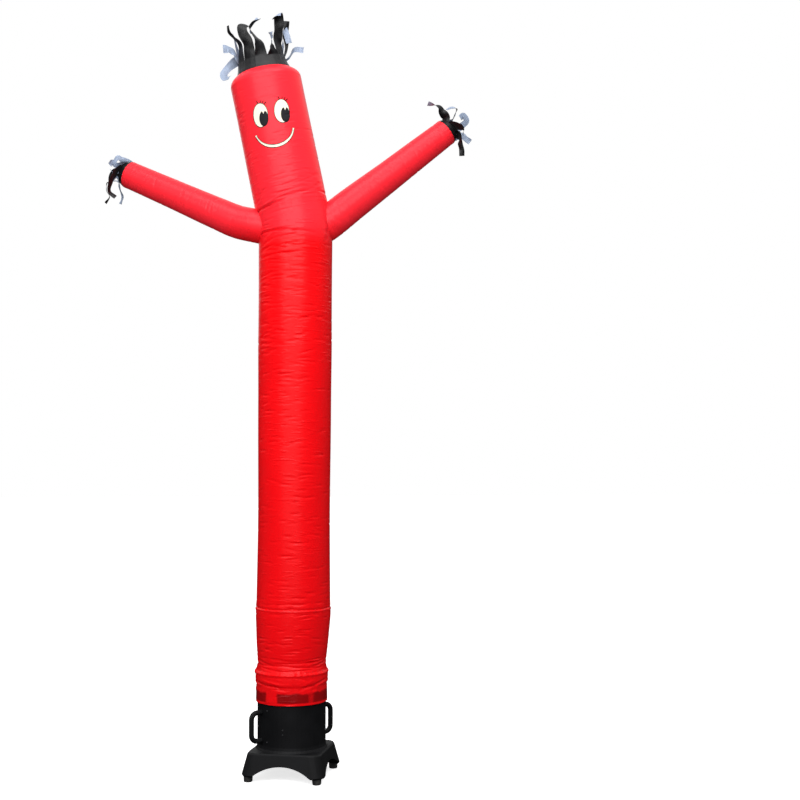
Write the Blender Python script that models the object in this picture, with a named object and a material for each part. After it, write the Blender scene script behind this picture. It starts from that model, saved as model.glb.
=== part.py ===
"""Inflatable air dancer standing on the 12 inch blower that its cuff fits over. Metres, +Z up, facing -Y."""

import math
from collections import namedtuple

import bmesh
import bpy
from mathutils import Matrix, Vector

# ---------------------------------------------------------------- driving dimensions (m)

# The origin is under the middle of the whole dancer; the blower stands this far from it.
STAND_X, STAND_Y = 0.027, -0.070

CLOTH = 0.0015  # wall of the sewn nylon
STRIP_CLOTH = 0.0012  # wall of the fringes
GAP = 0.0003  # between pieces that meet
SEAM_HEM = 0.004  # straight end of a piece at a seam

TUBE_SIDES = 32
ARM_SIDES = 24

# Blower
BLOWER_YAW = math.radians(30)  # handles point to the left front and the right back
FOOT_RADIUS, FOOT_HEIGHT, FOOT_REACH = 0.020, 0.024, 0.210
BASE_TOP, BASE_BOTTOM = 0.120, 0.0243
BASE_TOP_HALF, BASE_BOTTOM_HALF, BASE_CORNER = 0.1575, 0.1795, 0.045
BASE_WALL = 0.005
ARCH_SPAN, ARCH_APEX = 0.255, 0.070
HOUSING_RADIUS, HOUSING_WALL, HOUSING_SIDES = 0.1465, 0.006, 48
BEAD_LOW, BEAD_HIGH, BEAD = 0.316, 0.331, 0.0015  # raised band round the housing
RIM_BASE, RIM_TOP, RIM_RADIUS, RIM_BORE = 0.3653, 0.380, 0.1485, 0.131
NOTCH_WIDTH, NOTCH_DEPTH = 0.012, 0.006
GRILLE_RINGS, GRILLE_SPOKES, GRILLE_HUB = 4, 6, 0.020
GRILLE_BAR, GRILLE_THICK = 0.003, 0.003
GRILLE_TURN = math.radians(10)  # spokes, and the notches over their ends
HANDLE_REACH, HANDLE_LOW, HANDLE_HIGH, HANDLE_TUBE, HANDLE_BEND = 0.195, 0.163, 0.282, 0.011, 0.026
SCREW_RADIUS, SCREW_HEIGHT = 0.0032, 0.0015
SCREW_HEIGHTS = (0.218, 0.1985)  # a pair on each quarter of the housing
ROOT_SCREW_HEIGHTS = (0.292, 0.161)  # beside each handle's roots
ROOT_SCREW_TURN = math.radians(15)

# Red tube: it drifts to the right from the hem up to the bend, where the head tilts left
HEM, CUFF_SEAM, PANEL_SEAM, BEND = 0.320, 0.450, 0.720, 2.360
SEAM_DRIFT, BEND_DRIFT = 0.006, 0.012  # at the panel seam and at the bend
HEAD_TILT = math.radians(11.7)
NECK_UP = 0.090  # along the head's axis, from the bend to the neck seam
BEND_RADIUS, NECK_RADIUS, HEAD_RADIUS = 0.1575, 0.1555, 0.1563
HEAD_TOP_UP, HEAD_TOP_RADIUS = 0.691, 0.117
SLEEVE_HOLE = 0.016  # how much smaller than the arm the hole inside it is

# Face, set out on the head's own axis: arcs across its front, heights from the bend
FACE_TURN = math.radians(-3.5)
EYE_ARC, EYE_UP, EYE_HALF_ARC, EYE_HALF_UP = 0.047, 0.476, 0.0335, 0.0510
PUPIL_ARC, PUPIL_UP, PUPIL_HALF_ARC, PUPIL_HALF_UP = 0.012, -0.017, 0.020, 0.033
MOUTH_HALF_ARC, MOUTH_DROP, MOUTH_DEPTH, MOUTH_THICK = 0.085, 0.078, 0.064, 0.0135
MOUTH_ROUND = 0.96  # 1 is a half ellipse and 0 is flat
PATCH, PATCH_LIFT = 0.0010, 0.0004

# ---------------------------------------------------------------- short tables

Section = namedtuple("Section", "height radius")
CUFF_SECTIONS = (
    Section(HEM, 0.1530),
    Section(0.340, 0.1540),
    Section(0.385, 0.1545),
    Section(0.400, 0.1560),
    Section(0.425, 0.1560),
    Section(CUFF_SEAM, 0.1530),
)
PANEL_SECTIONS = (
    Section(CUFF_SEAM, 0.1535),
    Section(0.464, 0.1495),
    Section(0.485, 0.1475),
    Section(0.540, 0.1515),
    Section(0.620, 0.1568),
    Section(0.695, 0.1605),
    Section(PANEL_SEAM, 0.1592),
)
BODY_SECTIONS = (
    Section(PANEL_SEAM, 0.1595),
    Section(0.755, 0.1575),
    Section(1.130, 0.1560),
    Section(1.600, 0.1565),
    Section(1.900, 0.1600),
    Section(2.280, 0.1595),
)
# Top of the head: distance below its end, and radius
CROWN_SECTIONS = ((0.045, HEAD_RADIUS), (0.026, 0.1490), (0.012, 0.1360), (0.0, HEAD_TOP_RADIUS))

# Arms: centre line from inside the shoulder to the wrist (x, y, z), from the blower's axis, and radius
ARM_ROUTES = {
    "left": (
        (-0.050, 0.000, 2.345, 0.0740),
        (-0.145, 0.004, 2.364, 0.0735),
        (-0.235, 0.034, 2.387, 0.0725),
        (-0.330, 0.076, 2.431, 0.0700),
        (-0.530, 0.163, 2.530, 0.0645),
        (-0.734, 0.250, 2.630, 0.0605),
    ),
    "right": (
        (0.060, 0.000, 2.320, 0.0760),
        (0.159, 0.000, 2.389, 0.0757),
        (0.250, 0.012, 2.464, 0.0735),
        (0.420, 0.038, 2.600, 0.0670),
        (0.560, 0.061, 2.714, 0.0625),
        (0.679, 0.080, 2.810, 0.0585),
    ),
}

# Fringes: bands by distance along the axis and radius
HAIR_BAND = ((0.0, 0.117), (0.004, 0.117), (0.022, 0.110), (0.050, 0.103))
HAND_BANDS = {
    "left": ((0.0, 0.0605), (0.004, 0.0605), (0.014, 0.0555), (0.026, 0.0515)),
    "right": ((0.0, 0.0585), (0.004, 0.0585), (0.012, 0.0540), (0.022, 0.0500)),
}

# The first strip roots at the front, and the rest go round to the right. A route's points (x, y, z)
# are from the middle of the band's foot.
Strip = namedtuple("Strip", "width twist route")
HAIR_STRIPS = (
    Strip(0.042, 150, ((-0.018, -0.112, 0.100), (-0.044, -0.118, 0.140), (-0.056, -0.112, 0.158),
                       (-0.040, -0.106, 0.184), (-0.018, -0.102, 0.204))),
    Strip(0.026, 100, ((0.034, -0.104, 0.098), (0.034, -0.108, 0.124), (0.028, -0.114, 0.146))),
    Strip(0.044, -60, ((0.060, -0.072, 0.115), (0.062, -0.076, 0.166), (0.064, -0.078, 0.204),
                       (0.060, -0.092, 0.228), (0.050, -0.114, 0.214))),
    Strip(0.027, -75, ((0.098, -0.012, 0.112), (0.097, -0.022, 0.158), (0.098, -0.030, 0.222))),
    Strip(0.026, 80, ((0.108, 0.022, 0.078), (0.132, 0.004, 0.106), (0.172, -0.008, 0.102))),
    Strip(0.025, -150, ((0.074, 0.050, 0.110), (0.082, 0.024, 0.164), (0.086, -0.014, 0.192),
                        (0.096, -0.046, 0.164), (0.110, -0.054, 0.118))),
    Strip(0.036, 20, ((-0.010, 0.108, 0.100), (-0.020, 0.116, 0.140), (-0.024, 0.126, 0.172))),
    Strip(0.034, 30, ((-0.058, 0.098, 0.100), (-0.066, 0.104, 0.140), (-0.068, 0.106, 0.168))),
    Strip(0.032, 50, ((-0.112, 0.020, 0.056), (-0.144, 0.004, 0.030), (-0.172, -0.018, -0.010),
                      (-0.166, -0.036, -0.036), (-0.146, -0.050, -0.034))),
    Strip(0.038, -55, ((-0.122, -0.008, 0.076), (-0.148, -0.020, 0.094), (-0.176, -0.030, 0.094))),
    Strip(0.018, 10, ((-0.100, -0.064, 0.100), (-0.128, -0.070, 0.130), (-0.150, -0.074, 0.153),
                      (-0.156, -0.076, 0.180))),
    Strip(0.044, 30, ((-0.066, -0.100, 0.100), (-0.088, -0.106, 0.140), (-0.092, -0.100, 0.172),
                      (-0.080, -0.086, 0.186))),
)
HAND_STRIPS = {
    "left": (
        Strip(0.024, 30, ((-0.058, -0.062, -0.006), (-0.076, -0.072, -0.056), (-0.078, -0.070, -0.090),
                          (-0.052, -0.066, -0.112))),
        Strip(0.022, 20, ((-0.050, -0.034, 0.036), (-0.074, -0.046, 0.048), (-0.080, -0.066, 0.030))),
        Strip(0.024, 25, ((-0.034, 0.010, 0.070), (-0.052, 0.004, 0.080), (-0.070, 0.000, 0.062))),
        Strip(0.022, 30, ((-0.050, 0.060, 0.040), (-0.090, 0.084, 0.020), (-0.106, 0.090, -0.030))),
        Strip(0.024, 25, ((-0.060, 0.050, -0.020), (-0.104, 0.052, -0.026), (-0.108, 0.050, -0.062),
                          (-0.094, 0.048, -0.092), (-0.112, 0.046, -0.122))),
        Strip(0.022, -30, ((-0.040, -0.008, -0.068), (-0.030, 0.000, -0.100), (-0.040, 0.004, -0.132))),
    ),
    "right": (
        Strip(0.024, 20, ((0.054, -0.066, 0.012), (0.070, -0.086, -0.004), (0.064, -0.090, -0.034))),
        Strip(0.024, -30, ((0.056, -0.048, -0.030), (0.056, -0.056, -0.060), (0.064, -0.054, -0.088),
                      (0.066, -0.050, -0.116))),
        Strip(0.026, 35, ((0.070, 0.006, -0.012), (0.088, 0.004, -0.026), (0.110, 0.002, -0.042))),
        Strip(0.026, 30, ((0.060, 0.050, 0.030), (0.084, 0.054, 0.048), (0.100, 0.050, 0.066),
                          (0.086, 0.044, 0.088), (0.070, 0.040, 0.076))),
        Strip(0.024, 40, ((0.026, 0.046, 0.060), (0.042, 0.046, 0.086), (0.052, 0.042, 0.116),
                          (0.030, 0.030, 0.116), (0.010, 0.024, 0.106))),
        Strip(0.024, 45, ((-0.004, -0.024, 0.064), (-0.020, -0.030, 0.084), (-0.034, -0.034, 0.106),
                          (-0.084, -0.040, 0.118))),
    ),
}

FRONT = Vector((0, -1, 0))
UP = Vector((0, 0, 1))
HEAD_AXIS = Vector((-math.sin(HEAD_TILT), 0, math.cos(HEAD_TILT)))

# ---------------------------------------------------------------- materials


def principled(name, colour, roughness, metallic=0.0):
    material = bpy.data.materials.new(name)
    material.use_nodes = True
    material.diffuse_color = (*colour, 1)
    shader = material.node_tree.nodes["Principled BSDF"]
    shader.inputs["Base Color"].default_value = (*colour, 1)
    shader.inputs["Roughness"].default_value = roughness
    shader.inputs["Metallic"].default_value = metallic
    return material


# ---------------------------------------------------------------- building helpers


def add_empty(name, location, parent=None, turn=0.0):
    empty = bpy.data.objects.new(name, None)
    empty.location = location
    empty.rotation_euler = (0, 0, turn)
    empty.parent = parent
    bpy.context.collection.objects.link(empty)
    return empty


def add_mesh(name, bm, material, parent, sharp=math.radians(35)):
    """A new object from a bmesh, its faces turned outwards and shaded smooth."""
    bmesh.ops.recalc_face_normals(bm, faces=bm.faces)
    mesh = bpy.data.meshes.new(name)
    bm.to_mesh(mesh)
    bm.free()
    mesh.materials.append(material)
    mesh.shade_smooth()
    mesh.set_sharp_from_angle(angle=sharp)
    thing = bpy.data.objects.new(name, mesh)
    thing.parent = parent
    bpy.context.collection.objects.link(thing)
    return thing


def add_wall(thing, thickness, offset=-1.0):
    """Gives a sheet its thickness; offset -1 grows it inwards and 1 outwards."""
    solidify = thing.modifiers.new("wall", "SOLIDIFY")
    solidify.thickness = thickness
    solidify.offset = offset
    solidify.use_even_offset = True
    solidify.use_rim = True


def cut(thing, cutter):
    """Takes the cutter's shape out of the thing; the cutter stays as a hidden guide."""
    cutter.hide_render = True
    cutter.display_type = "WIRE"
    boolean = thing.modifiers.new("cut", "BOOLEAN")
    boolean.operation = "DIFFERENCE"
    boolean.solver = "EXACT"
    boolean.object = cutter


def ring(bm, centre, axis, towards, radius, sides):
    """A ring of vertices square to the axis; the first one lies towards the given side."""
    first = (towards - towards.dot(axis) * axis).normalized()
    second = axis.cross(first)
    verts = []
    for i in range(sides):
        turn = 2 * math.pi * i / sides
        out = first * math.cos(turn) + second * math.sin(turn)
        verts.append(bm.verts.new(centre + out * radius))
    return verts


def skin(bm, rings):
    """Quads between each ring and the next."""
    for low, high in zip(rings, rings[1:]):
        count = len(low)
        for i in range(count):
            j = (i + 1) % count
            bm.faces.new((low[i], low[j], high[j], high[i]))


def tube_mesh(stations, sides, towards, grow=0.0, capped=False):
    """Rings at the stations (centre, axis, radius), skinned, and closed at both ends when capped."""
    bm = bmesh.new()
    rings = [
        ring(bm, centre, axis, towards, radius + grow, sides) for centre, axis, radius in stations
    ]
    skin(bm, rings)
    if capped:
        bm.faces.new(rings[0])
        bm.faces.new(rings[-1])
    return bm


def turned_mesh(profile, sides):
    """The closed profile of (radius, height) points, spun once about Z."""
    bm = bmesh.new()
    verts = [bm.verts.new((radius, 0, height)) for radius, height in profile]
    edges = [bm.edges.new((a, b)) for a, b in zip(verts, verts[1:] + verts[:1])]
    bmesh.ops.spin(
        bm,
        geom=verts + edges,
        cent=(0, 0, 0),
        axis=(0, 0, 1),
        angle=2 * math.pi,
        steps=sides,
        use_merge=True,
    )
    bmesh.ops.remove_doubles(bm, verts=bm.verts, dist=1e-6)
    return bm


def smooth_route(points, steps):
    """Points along the Catmull-Rom curve through the given ones, steps to each span."""
    ends = [points[0] * 2 - points[1], *points, points[-1] * 2 - points[-2]]
    route = []
    for a, b, c, d in zip(ends, ends[1:], ends[2:], ends[3:]):
        for i in range(steps):
            t = i / steps
            route.append(
                0.5
                * (
                    2 * b
                    + (c - a) * t
                    + (2 * a - 5 * b + 4 * c - d) * t**2
                    + (3 * b - a - 3 * c + d) * t**3
                )
            )
    return route + [points[-1]]


def tangents(points):
    """The direction of the route at each of its points."""
    around = [points[0], *points, points[-1]]
    return [(after - before).normalized() for before, after in zip(around, around[2:])]


# ---------------------------------------------------------------- red tube and head


def tube_axis(height):
    """The centre of the red tube at a height below the bend."""
    if height < CUFF_SEAM:
        return Vector((0, 0, height))
    if height < PANEL_SEAM:
        return Vector((SEAM_DRIFT * (height - CUFF_SEAM) / (PANEL_SEAM - CUFF_SEAM), 0, height))
    share = (height - PANEL_SEAM) / (BEND - PANEL_SEAM)
    return Vector((SEAM_DRIFT + (BEND_DRIFT - SEAM_DRIFT) * share, 0, height))


def head_point(up):
    """A point on the head's axis, a distance up from the bend."""
    return tube_axis(BEND) + up * HEAD_AXIS


def level_stations(sections):
    return [(tube_axis(each.height), UP, each.radius) for each in sections]


def gapped(stations, at_foot, at_top):
    """The same stations, with half the gap and a short straight hem at the ends that meet a piece."""
    eased = list(stations)
    if at_foot:
        centre, axis, radius = eased[0]
        eased[:1] = [(centre + axis * shift, axis, radius) for shift in (GAP / 2, SEAM_HEM)]
    if at_top:
        centre, axis, radius = eased[-1]
        eased[-1:] = [(centre - axis * shift, axis, radius) for shift in (SEAM_HEM, GAP / 2)]
    return eased


def body_stations():
    neck = [
        (tube_axis(BEND), (UP + HEAD_AXIS).normalized(), BEND_RADIUS),
        (head_point(NECK_UP), HEAD_AXIS, NECK_RADIUS),
    ]
    return level_stations(BODY_SECTIONS) + neck


def head_stations():
    crown = [(HEAD_TOP_UP - below, radius) for below, radius in CROWN_SECTIONS]
    straight_from, straight_steps = NECK_UP + 0.030, 5
    reach = crown[0][0] - straight_from
    straight = [
        (straight_from + reach * step / straight_steps, HEAD_RADIUS) for step in range(straight_steps)
    ]
    sections = [(NECK_UP, NECK_RADIUS), *straight, *crown]
    return [(head_point(up), HEAD_AXIS, radius) for up, radius in sections]


def add_tube(name, stations, material, parent):
    thing = add_mesh(name, tube_mesh(stations, TUBE_SIDES, FRONT), material, parent)
    add_wall(thing, CLOTH)
    return thing


# ---------------------------------------------------------------- arms


def arm_stations(route):
    points = [Vector((x, y, z)) for x, y, z, _ in route]
    radii = [radius for _, _, _, radius in route]
    return list(zip(points, tangents(points), radii))


def add_arm(side, body, material, parent):
    """The arm is trimmed where it meets the body, and the body is opened inside it."""
    stations = gapped(arm_stations(ARM_ROUTES[side]), False, True)
    arm = add_mesh(f"arm_{side}", tube_mesh(stations, ARM_SIDES, UP), material, parent)
    add_wall(arm, CLOTH)
    trim_stations = body_stations()[-4:] + head_stations()[1:5]
    trim = add_mesh(
        f"trim_{side}", tube_mesh(trim_stations, TUBE_SIDES, FRONT, GAP, True), material, parent
    )
    cut(arm, trim)
    hole = add_mesh(
        f"hole_{side}", tube_mesh(stations[:3], ARM_SIDES, UP, -SLEEVE_HOLE, True), material, parent
    )
    cut(body, hole)
    return arm


# ---------------------------------------------------------------- fringes


def strip_rows(root, edge, axis, strip, columns):
    """Rows of points across a strip, from its root on the band's edge to its tip."""
    width, twist, route = strip
    points = smooth_route([root, *route], 2)
    along = tangents(points)
    along[0] = (axis + along[0]).normalized()
    across = (edge[-1] - edge[0]).normalized()
    root_width = (edge[-1] - edge[0]).length
    rows = []
    for i, (point, direction) in enumerate(zip(points, along)):
        share = i / (len(points) - 1)
        across = (across - across.dot(direction) * direction).normalized()
        turned = Matrix.Rotation(math.radians(twist) * share, 3, direction) @ across
        spread = width + (root_width - width) * max(0.0, 1 - share / 0.3) ** 2
        rows.append(
            [point + turned * spread * (c / columns - 0.5) for c in range(columns + 1)]
        )
    return rows[1:]


def add_fringe(name, foot, axis, towards, band, strips, material, parent):
    """A gathered band with its strips, one comb along its edge."""
    columns = 2
    sides = columns * len(strips)
    bm = bmesh.new()
    rings = [
        ring(bm, foot + axis * along, axis, towards, radius, sides) for along, radius in band
    ]
    skin(bm, rings)
    for number, strip in enumerate(strips):
        first = number * columns - columns // 2
        low = [rings[-1][(first + c) % sides] for c in range(columns + 1)]
        root = low[columns // 2].co.copy()
        width, twist, route = strip
        placed = (width, twist, [foot + Vector(point) for point in route])
        for row in strip_rows(root, [v.co for v in low], axis, placed, columns):
            high = [bm.verts.new(point) for point in row]
            for c in range(columns):
                bm.faces.new((low[c], low[c + 1], high[c + 1], high[c]))
            low = high
    thing = add_mesh(name, bm, material, parent)
    add_wall(thing, STRIP_CLOTH)
    return thing


# ---------------------------------------------------------------- face


def on_head(arc, up, lift):
    """A point on the head's front: arc to the right of the face's middle, up its axis, lifted off."""
    turn = FACE_TURN + arc / HEAD_RADIUS
    side = FRONT.cross(-HEAD_AXIS).normalized()
    out = FRONT * math.cos(turn) + side * math.sin(turn)
    return head_point(up) + out * (HEAD_RADIUS + lift)


def add_oval(name, arc, up, half_arc, half_up, lift, material, parent):
    """An oval patch that follows the head's round."""
    sides, rings = 20, 2
    bm = bmesh.new()
    middle = bm.verts.new(on_head(arc, up, lift))
    loops = []
    for number in range(1, rings + 1):
        share = number / rings
        loop = []
        for i in range(sides):
            turn = 2 * math.pi * i / sides
            across = arc + half_arc * share * math.cos(turn)
            loop.append(bm.verts.new(on_head(across, up + half_up * share * math.sin(turn), lift)))
        loops.append(loop)
    for i in range(sides):
        bm.faces.new((middle, loops[0][i], loops[0][(i + 1) % sides]))
    skin(bm, loops)
    return add_patch(name, bm, material, parent)


def add_patch(name, bm, material, parent):
    thing = add_mesh(name, bm, material, parent)
    if thing.data.polygons[0].normal.dot(FRONT) < 0:
        thing.data.flip_normals()
    add_wall(thing, PATCH, offset=1.0)
    return thing


def add_mouth(lift, material, parent):
    """A crescent, thickest in the middle, with its ends turned up."""
    steps = 20
    full_bow = 1 - math.sqrt(1 - MOUTH_ROUND**2)
    lowest = EYE_UP - MOUTH_DROP - MOUTH_DEPTH
    bm = bmesh.new()
    rows = []
    for i in range(steps + 1):
        across = math.sin(math.pi * (i / steps - 0.5))
        bow = 1 - math.sqrt(1 - (MOUTH_ROUND * across) ** 2)
        middle = lowest + MOUTH_DEPTH * bow / full_bow
        half = MOUTH_THICK / 2 * (0.5 + 0.5 * math.cos(across * math.pi / 2))
        rows.append(
            [
                bm.verts.new(on_head(MOUTH_HALF_ARC * across, middle + shift, lift))
                for shift in (-half, half)
            ]
        )
    for left, right in zip(rows, rows[1:]):
        bm.faces.new((left[0], right[0], right[1], left[1]))
    return add_patch("mouth", bm, material, parent)


def add_face(white, black, parent):
    over = PATCH_LIFT + PATCH + PATCH_LIFT
    for side, sign in (("left", -1), ("right", 1)):
        arc = sign * EYE_ARC
        eye = (arc, EYE_UP, EYE_HALF_ARC, EYE_HALF_UP)
        add_oval(f"eye_{side}", *eye, PATCH_LIFT, white, parent)
        pupil = (arc + PUPIL_ARC, EYE_UP + PUPIL_UP, PUPIL_HALF_ARC, PUPIL_HALF_UP)
        add_oval(f"pupil_{side}", *pupil, over, black, parent)
    add_mouth(PATCH_LIFT, white, parent)


# ---------------------------------------------------------------- blower


def rounded_square(bm, half, corner, height, turn):
    """A loop of a square with round corners, its flats turned by the given angle."""
    corner_steps = 6
    verts = []
    for quarter in range(4):
        start = quarter * math.pi / 2
        middle = Matrix.Rotation(start, 2) @ Vector((half - corner, half - corner))
        for i in range(corner_steps + 1):
            angle = start + math.pi / 2 * i / corner_steps
            flat = middle + corner * Vector((math.cos(angle), math.sin(angle)))
            verts.append(bm.verts.new((*(Matrix.Rotation(turn, 2) @ flat), height)))
    return verts


def add_base(material, parent):
    """Flared skirt, hollow below, with a corner over each foot and an arch in each side."""
    bm = bmesh.new()
    turn = math.pi / 4
    skirt = (
        (BASE_BOTTOM_HALF - 0.003, BASE_BOTTOM, BASE_CORNER),
        (BASE_BOTTOM_HALF, BASE_BOTTOM + 0.006, BASE_CORNER),
        (BASE_TOP_HALF + 0.002, BASE_TOP - 0.006, BASE_CORNER - 0.003),
        (BASE_TOP_HALF - 0.003, BASE_TOP, BASE_CORNER - 0.005),
    )
    hollow = (
        (BASE_BOTTOM_HALF - BASE_WALL - 0.004, BASE_BOTTOM, 0.110),
        (BASE_TOP_HALF - BASE_WALL, BASE_TOP - BASE_WALL - 0.002, 0.100),
    )
    outer = [rounded_square(bm, half, corner, z, turn) for half, z, corner in skirt]
    inner = [rounded_square(bm, half, corner, z, turn) for half, z, corner in hollow]
    skin(bm, outer)
    skin(bm, inner)
    skin(bm, [outer[0], inner[0]])
    bm.faces.new(outer[-1])
    bm.faces.new(inner[-1])
    base = add_mesh("blower_base", bm, material, parent)
    rise = ARCH_APEX - BASE_BOTTOM
    radius = ((ARCH_SPAN / 2) ** 2 + rise**2) / (2 * rise)
    for number in range(2):
        arch = bmesh.new()
        bmesh.ops.create_cone(
            arch, cap_ends=True, segments=96, radius1=radius, radius2=radius, depth=0.6
        )
        across = Matrix.Rotation(math.pi / 2, 3, "Y")
        bmesh.ops.rotate(arch, verts=arch.verts, cent=(0, 0, 0), matrix=across)
        spin = Matrix.Rotation(turn + number * math.pi / 2, 3, "Z")
        bmesh.ops.rotate(arch, verts=arch.verts, cent=(0, 0, 0), matrix=spin)
        bmesh.ops.translate(arch, verts=arch.verts, vec=(0, 0, ARCH_APEX - radius))
        cut(base, add_mesh(f"arch_{number}", arch, material, parent))
    return base


def add_housing(material, parent):
    foot = BASE_TOP + GAP
    inside = HOUSING_RADIUS - HOUSING_WALL
    profile = (
        (inside, foot),
        (HOUSING_RADIUS + 0.007, foot),
        (HOUSING_RADIUS + 0.0055, foot + 0.003),
        (HOUSING_RADIUS + 0.002, foot + 0.010),
        (HOUSING_RADIUS, foot + 0.022),
        (HOUSING_RADIUS, BEAD_LOW),
        (HOUSING_RADIUS + BEAD, BEAD_LOW + 2 * BEAD),
        (HOUSING_RADIUS + BEAD, BEAD_HIGH - 2 * BEAD),
        (HOUSING_RADIUS, BEAD_HIGH),
        (HOUSING_RADIUS, RIM_BASE - GAP),
        (inside, RIM_BASE - GAP),
    )
    return add_mesh("blower_housing", turned_mesh(profile, HOUSING_SIDES), material, parent)


def add_rim(material, parent):
    """Guard ring with a notch over each end of the grille's spokes."""
    profile = (
        (RIM_BORE, RIM_BASE),
        (RIM_RADIUS - 0.001, RIM_BASE),
        (RIM_RADIUS, RIM_BASE + 0.004),
        (RIM_RADIUS - 0.001, RIM_TOP - 0.004),
        (RIM_RADIUS - 0.005, RIM_TOP),
        (RIM_BORE + 0.003, RIM_TOP),
        (RIM_BORE, RIM_TOP - 0.003),
    )
    rim = add_mesh("rim_guard", turned_mesh(profile, HOUSING_SIDES), material, parent)
    pairs = GRILLE_SPOKES // 2
    for number in range(pairs):
        notch = bmesh.new()
        bmesh.ops.create_cube(notch, size=1)
        size = (3 * RIM_RADIUS, NOTCH_WIDTH, 2 * NOTCH_DEPTH)
        bmesh.ops.scale(notch, verts=notch.verts, vec=size)
        spin = Matrix.Rotation(math.pi * number / pairs + GRILLE_TURN, 3, "Z")
        bmesh.ops.rotate(notch, verts=notch.verts, cent=(0, 0, 0), matrix=spin)
        bmesh.ops.translate(notch, verts=notch.verts, vec=(0, 0, RIM_TOP))
        cut(rim, add_mesh(f"notch_{number}", notch, material, parent))
    return rim


def add_grille(material, parent):
    """Flat guard inside the rim: a hub, rings and spokes in one plate."""
    steps = 4  # faces across each opening
    pitch = (RIM_BORE - GAP - GRILLE_HUB) / GRILLE_RINGS
    radii = [GRILLE_HUB]
    for number in range(1, GRILLE_RINGS + 1):
        outside = GRILLE_HUB + number * pitch
        radii += [outside - GRILLE_BAR, outside]
    sector = 2 * math.pi / GRILLE_SPOKES
    bm = bmesh.new()
    loops = []
    for radius in radii:
        skew = math.asin(GRILLE_BAR / 2 / radius)
        loop = []
        for number in range(GRILLE_SPOKES):
            for i in range(steps + 1):
                angle = number * sector + GRILLE_TURN + skew + (sector - 2 * skew) * i / steps
                place = (radius * math.cos(angle), radius * math.sin(angle), RIM_BASE + 0.001)
                loop.append(bm.verts.new(place))
        loops.append(loop)
    for number, (near, far) in enumerate(zip(loops, loops[1:])):
        is_ring = number % 2 == 1
        for i in range(len(near)):
            is_spoke = i % (steps + 1) == steps
            if is_ring or is_spoke:
                j = (i + 1) % len(near)
                bm.faces.new((near[i], near[j], far[j], far[i]))
    bm.faces.new(loops[0])
    grille = add_mesh("outlet_grille", bm, material, parent)
    if grille.data.polygons[0].normal.z > 0:
        grille.data.flip_normals()
    add_wall(grille, GRILLE_THICK)
    return grille


def add_handle(name, sign, material, parent):
    """A round bar bent out of the housing and back, with flat ends against it."""
    root = HOUSING_RADIUS + 2 * GAP
    corners = ((HANDLE_REACH, HANDLE_HIGH, 90), (HANDLE_REACH, HANDLE_LOW, 0))
    points = [Vector((root, 0, HANDLE_HIGH))]
    steps = 5
    for reach, height, start in corners:
        inward = 1 if height == HANDLE_LOW else -1
        middle = Vector((reach - HANDLE_BEND, 0, height + inward * HANDLE_BEND))
        for i in range(steps + 1):
            angle = math.radians(start - 90 * i / steps)
            points.append(middle + HANDLE_BEND * Vector((math.cos(angle), 0, math.sin(angle))))
    points.append(Vector((root, 0, HANDLE_LOW)))
    axes = tangents(points)
    axes[0], axes[-1] = Vector((1, 0, 0)), Vector((-1, 0, 0))
    stations = [(point, axis, HANDLE_TUBE) for point, axis in zip(points, axes)]
    bm = tube_mesh(stations, 12, Vector((0, 1, 0)), 0.0, True)
    handle = add_mesh(name, bm, material, parent, sharp=math.radians(60))
    handle.rotation_euler = (0, 0, 0 if sign > 0 else math.pi)
    return handle


def add_foot(name, turn, material, parent):
    profile_sides = 20
    bm = bmesh.new()
    low = FOOT_RADIUS * 0.92
    levels = ((0, low - 0.002), (0.002, low), (FOOT_HEIGHT, FOOT_RADIUS))
    rings = [ring(bm, Vector((0, 0, z)), UP, FRONT, radius, profile_sides) for z, radius in levels]
    skin(bm, rings)
    bm.faces.new(rings[0])
    bm.faces.new(rings[-1])
    foot = add_mesh(name, bm, material, parent)
    foot.location = (FOOT_REACH * math.cos(turn), FOOT_REACH * math.sin(turn), 0)
    return foot


def add_screw(name, turn, height, material, parent):
    """A low round head on the housing's wall."""
    bm = bmesh.new()
    top = SCREW_RADIUS * 0.7
    bmesh.ops.create_cone(
        bm, cap_ends=True, segments=12, radius1=SCREW_RADIUS, radius2=top, depth=SCREW_HEIGHT
    )
    screw = add_mesh(name, bm, material, parent)
    out = HOUSING_RADIUS + GAP + SCREW_HEIGHT / 2
    screw.location = (out * math.cos(turn), out * math.sin(turn), height)
    screw.rotation_euler = (0, math.pi / 2, turn)
    return screw


def add_blower(plastic, rubber, steel, parent):
    blower = add_empty("blower", (0, 0, 0), parent, BLOWER_YAW)
    add_base(plastic, blower)
    add_housing(plastic, blower)
    add_rim(plastic, blower)
    add_grille(steel, blower)
    for number, (name, sign) in enumerate((("handle_back", 1), ("handle_front", -1))):
        add_handle(name, sign, plastic, blower)
        middle = math.pi * number
        for place, height in zip(("high", "low"), ROOT_SCREW_HEIGHTS):
            turn = middle + ROOT_SCREW_TURN
            add_screw(f"screw_{name}_{place}", turn, height, steel, blower)
    for number in range(4):
        add_foot(f"foot_{number + 1}", number * math.pi / 2, rubber, blower)
        turn = math.pi / 4 + number * math.pi / 2
        for place, height in zip(("high", "low"), SCREW_HEIGHTS):
            add_screw(f"screw_{number + 1}_{place}", turn, height, steel, blower)


# ---------------------------------------------------------------- the dancer


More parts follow.
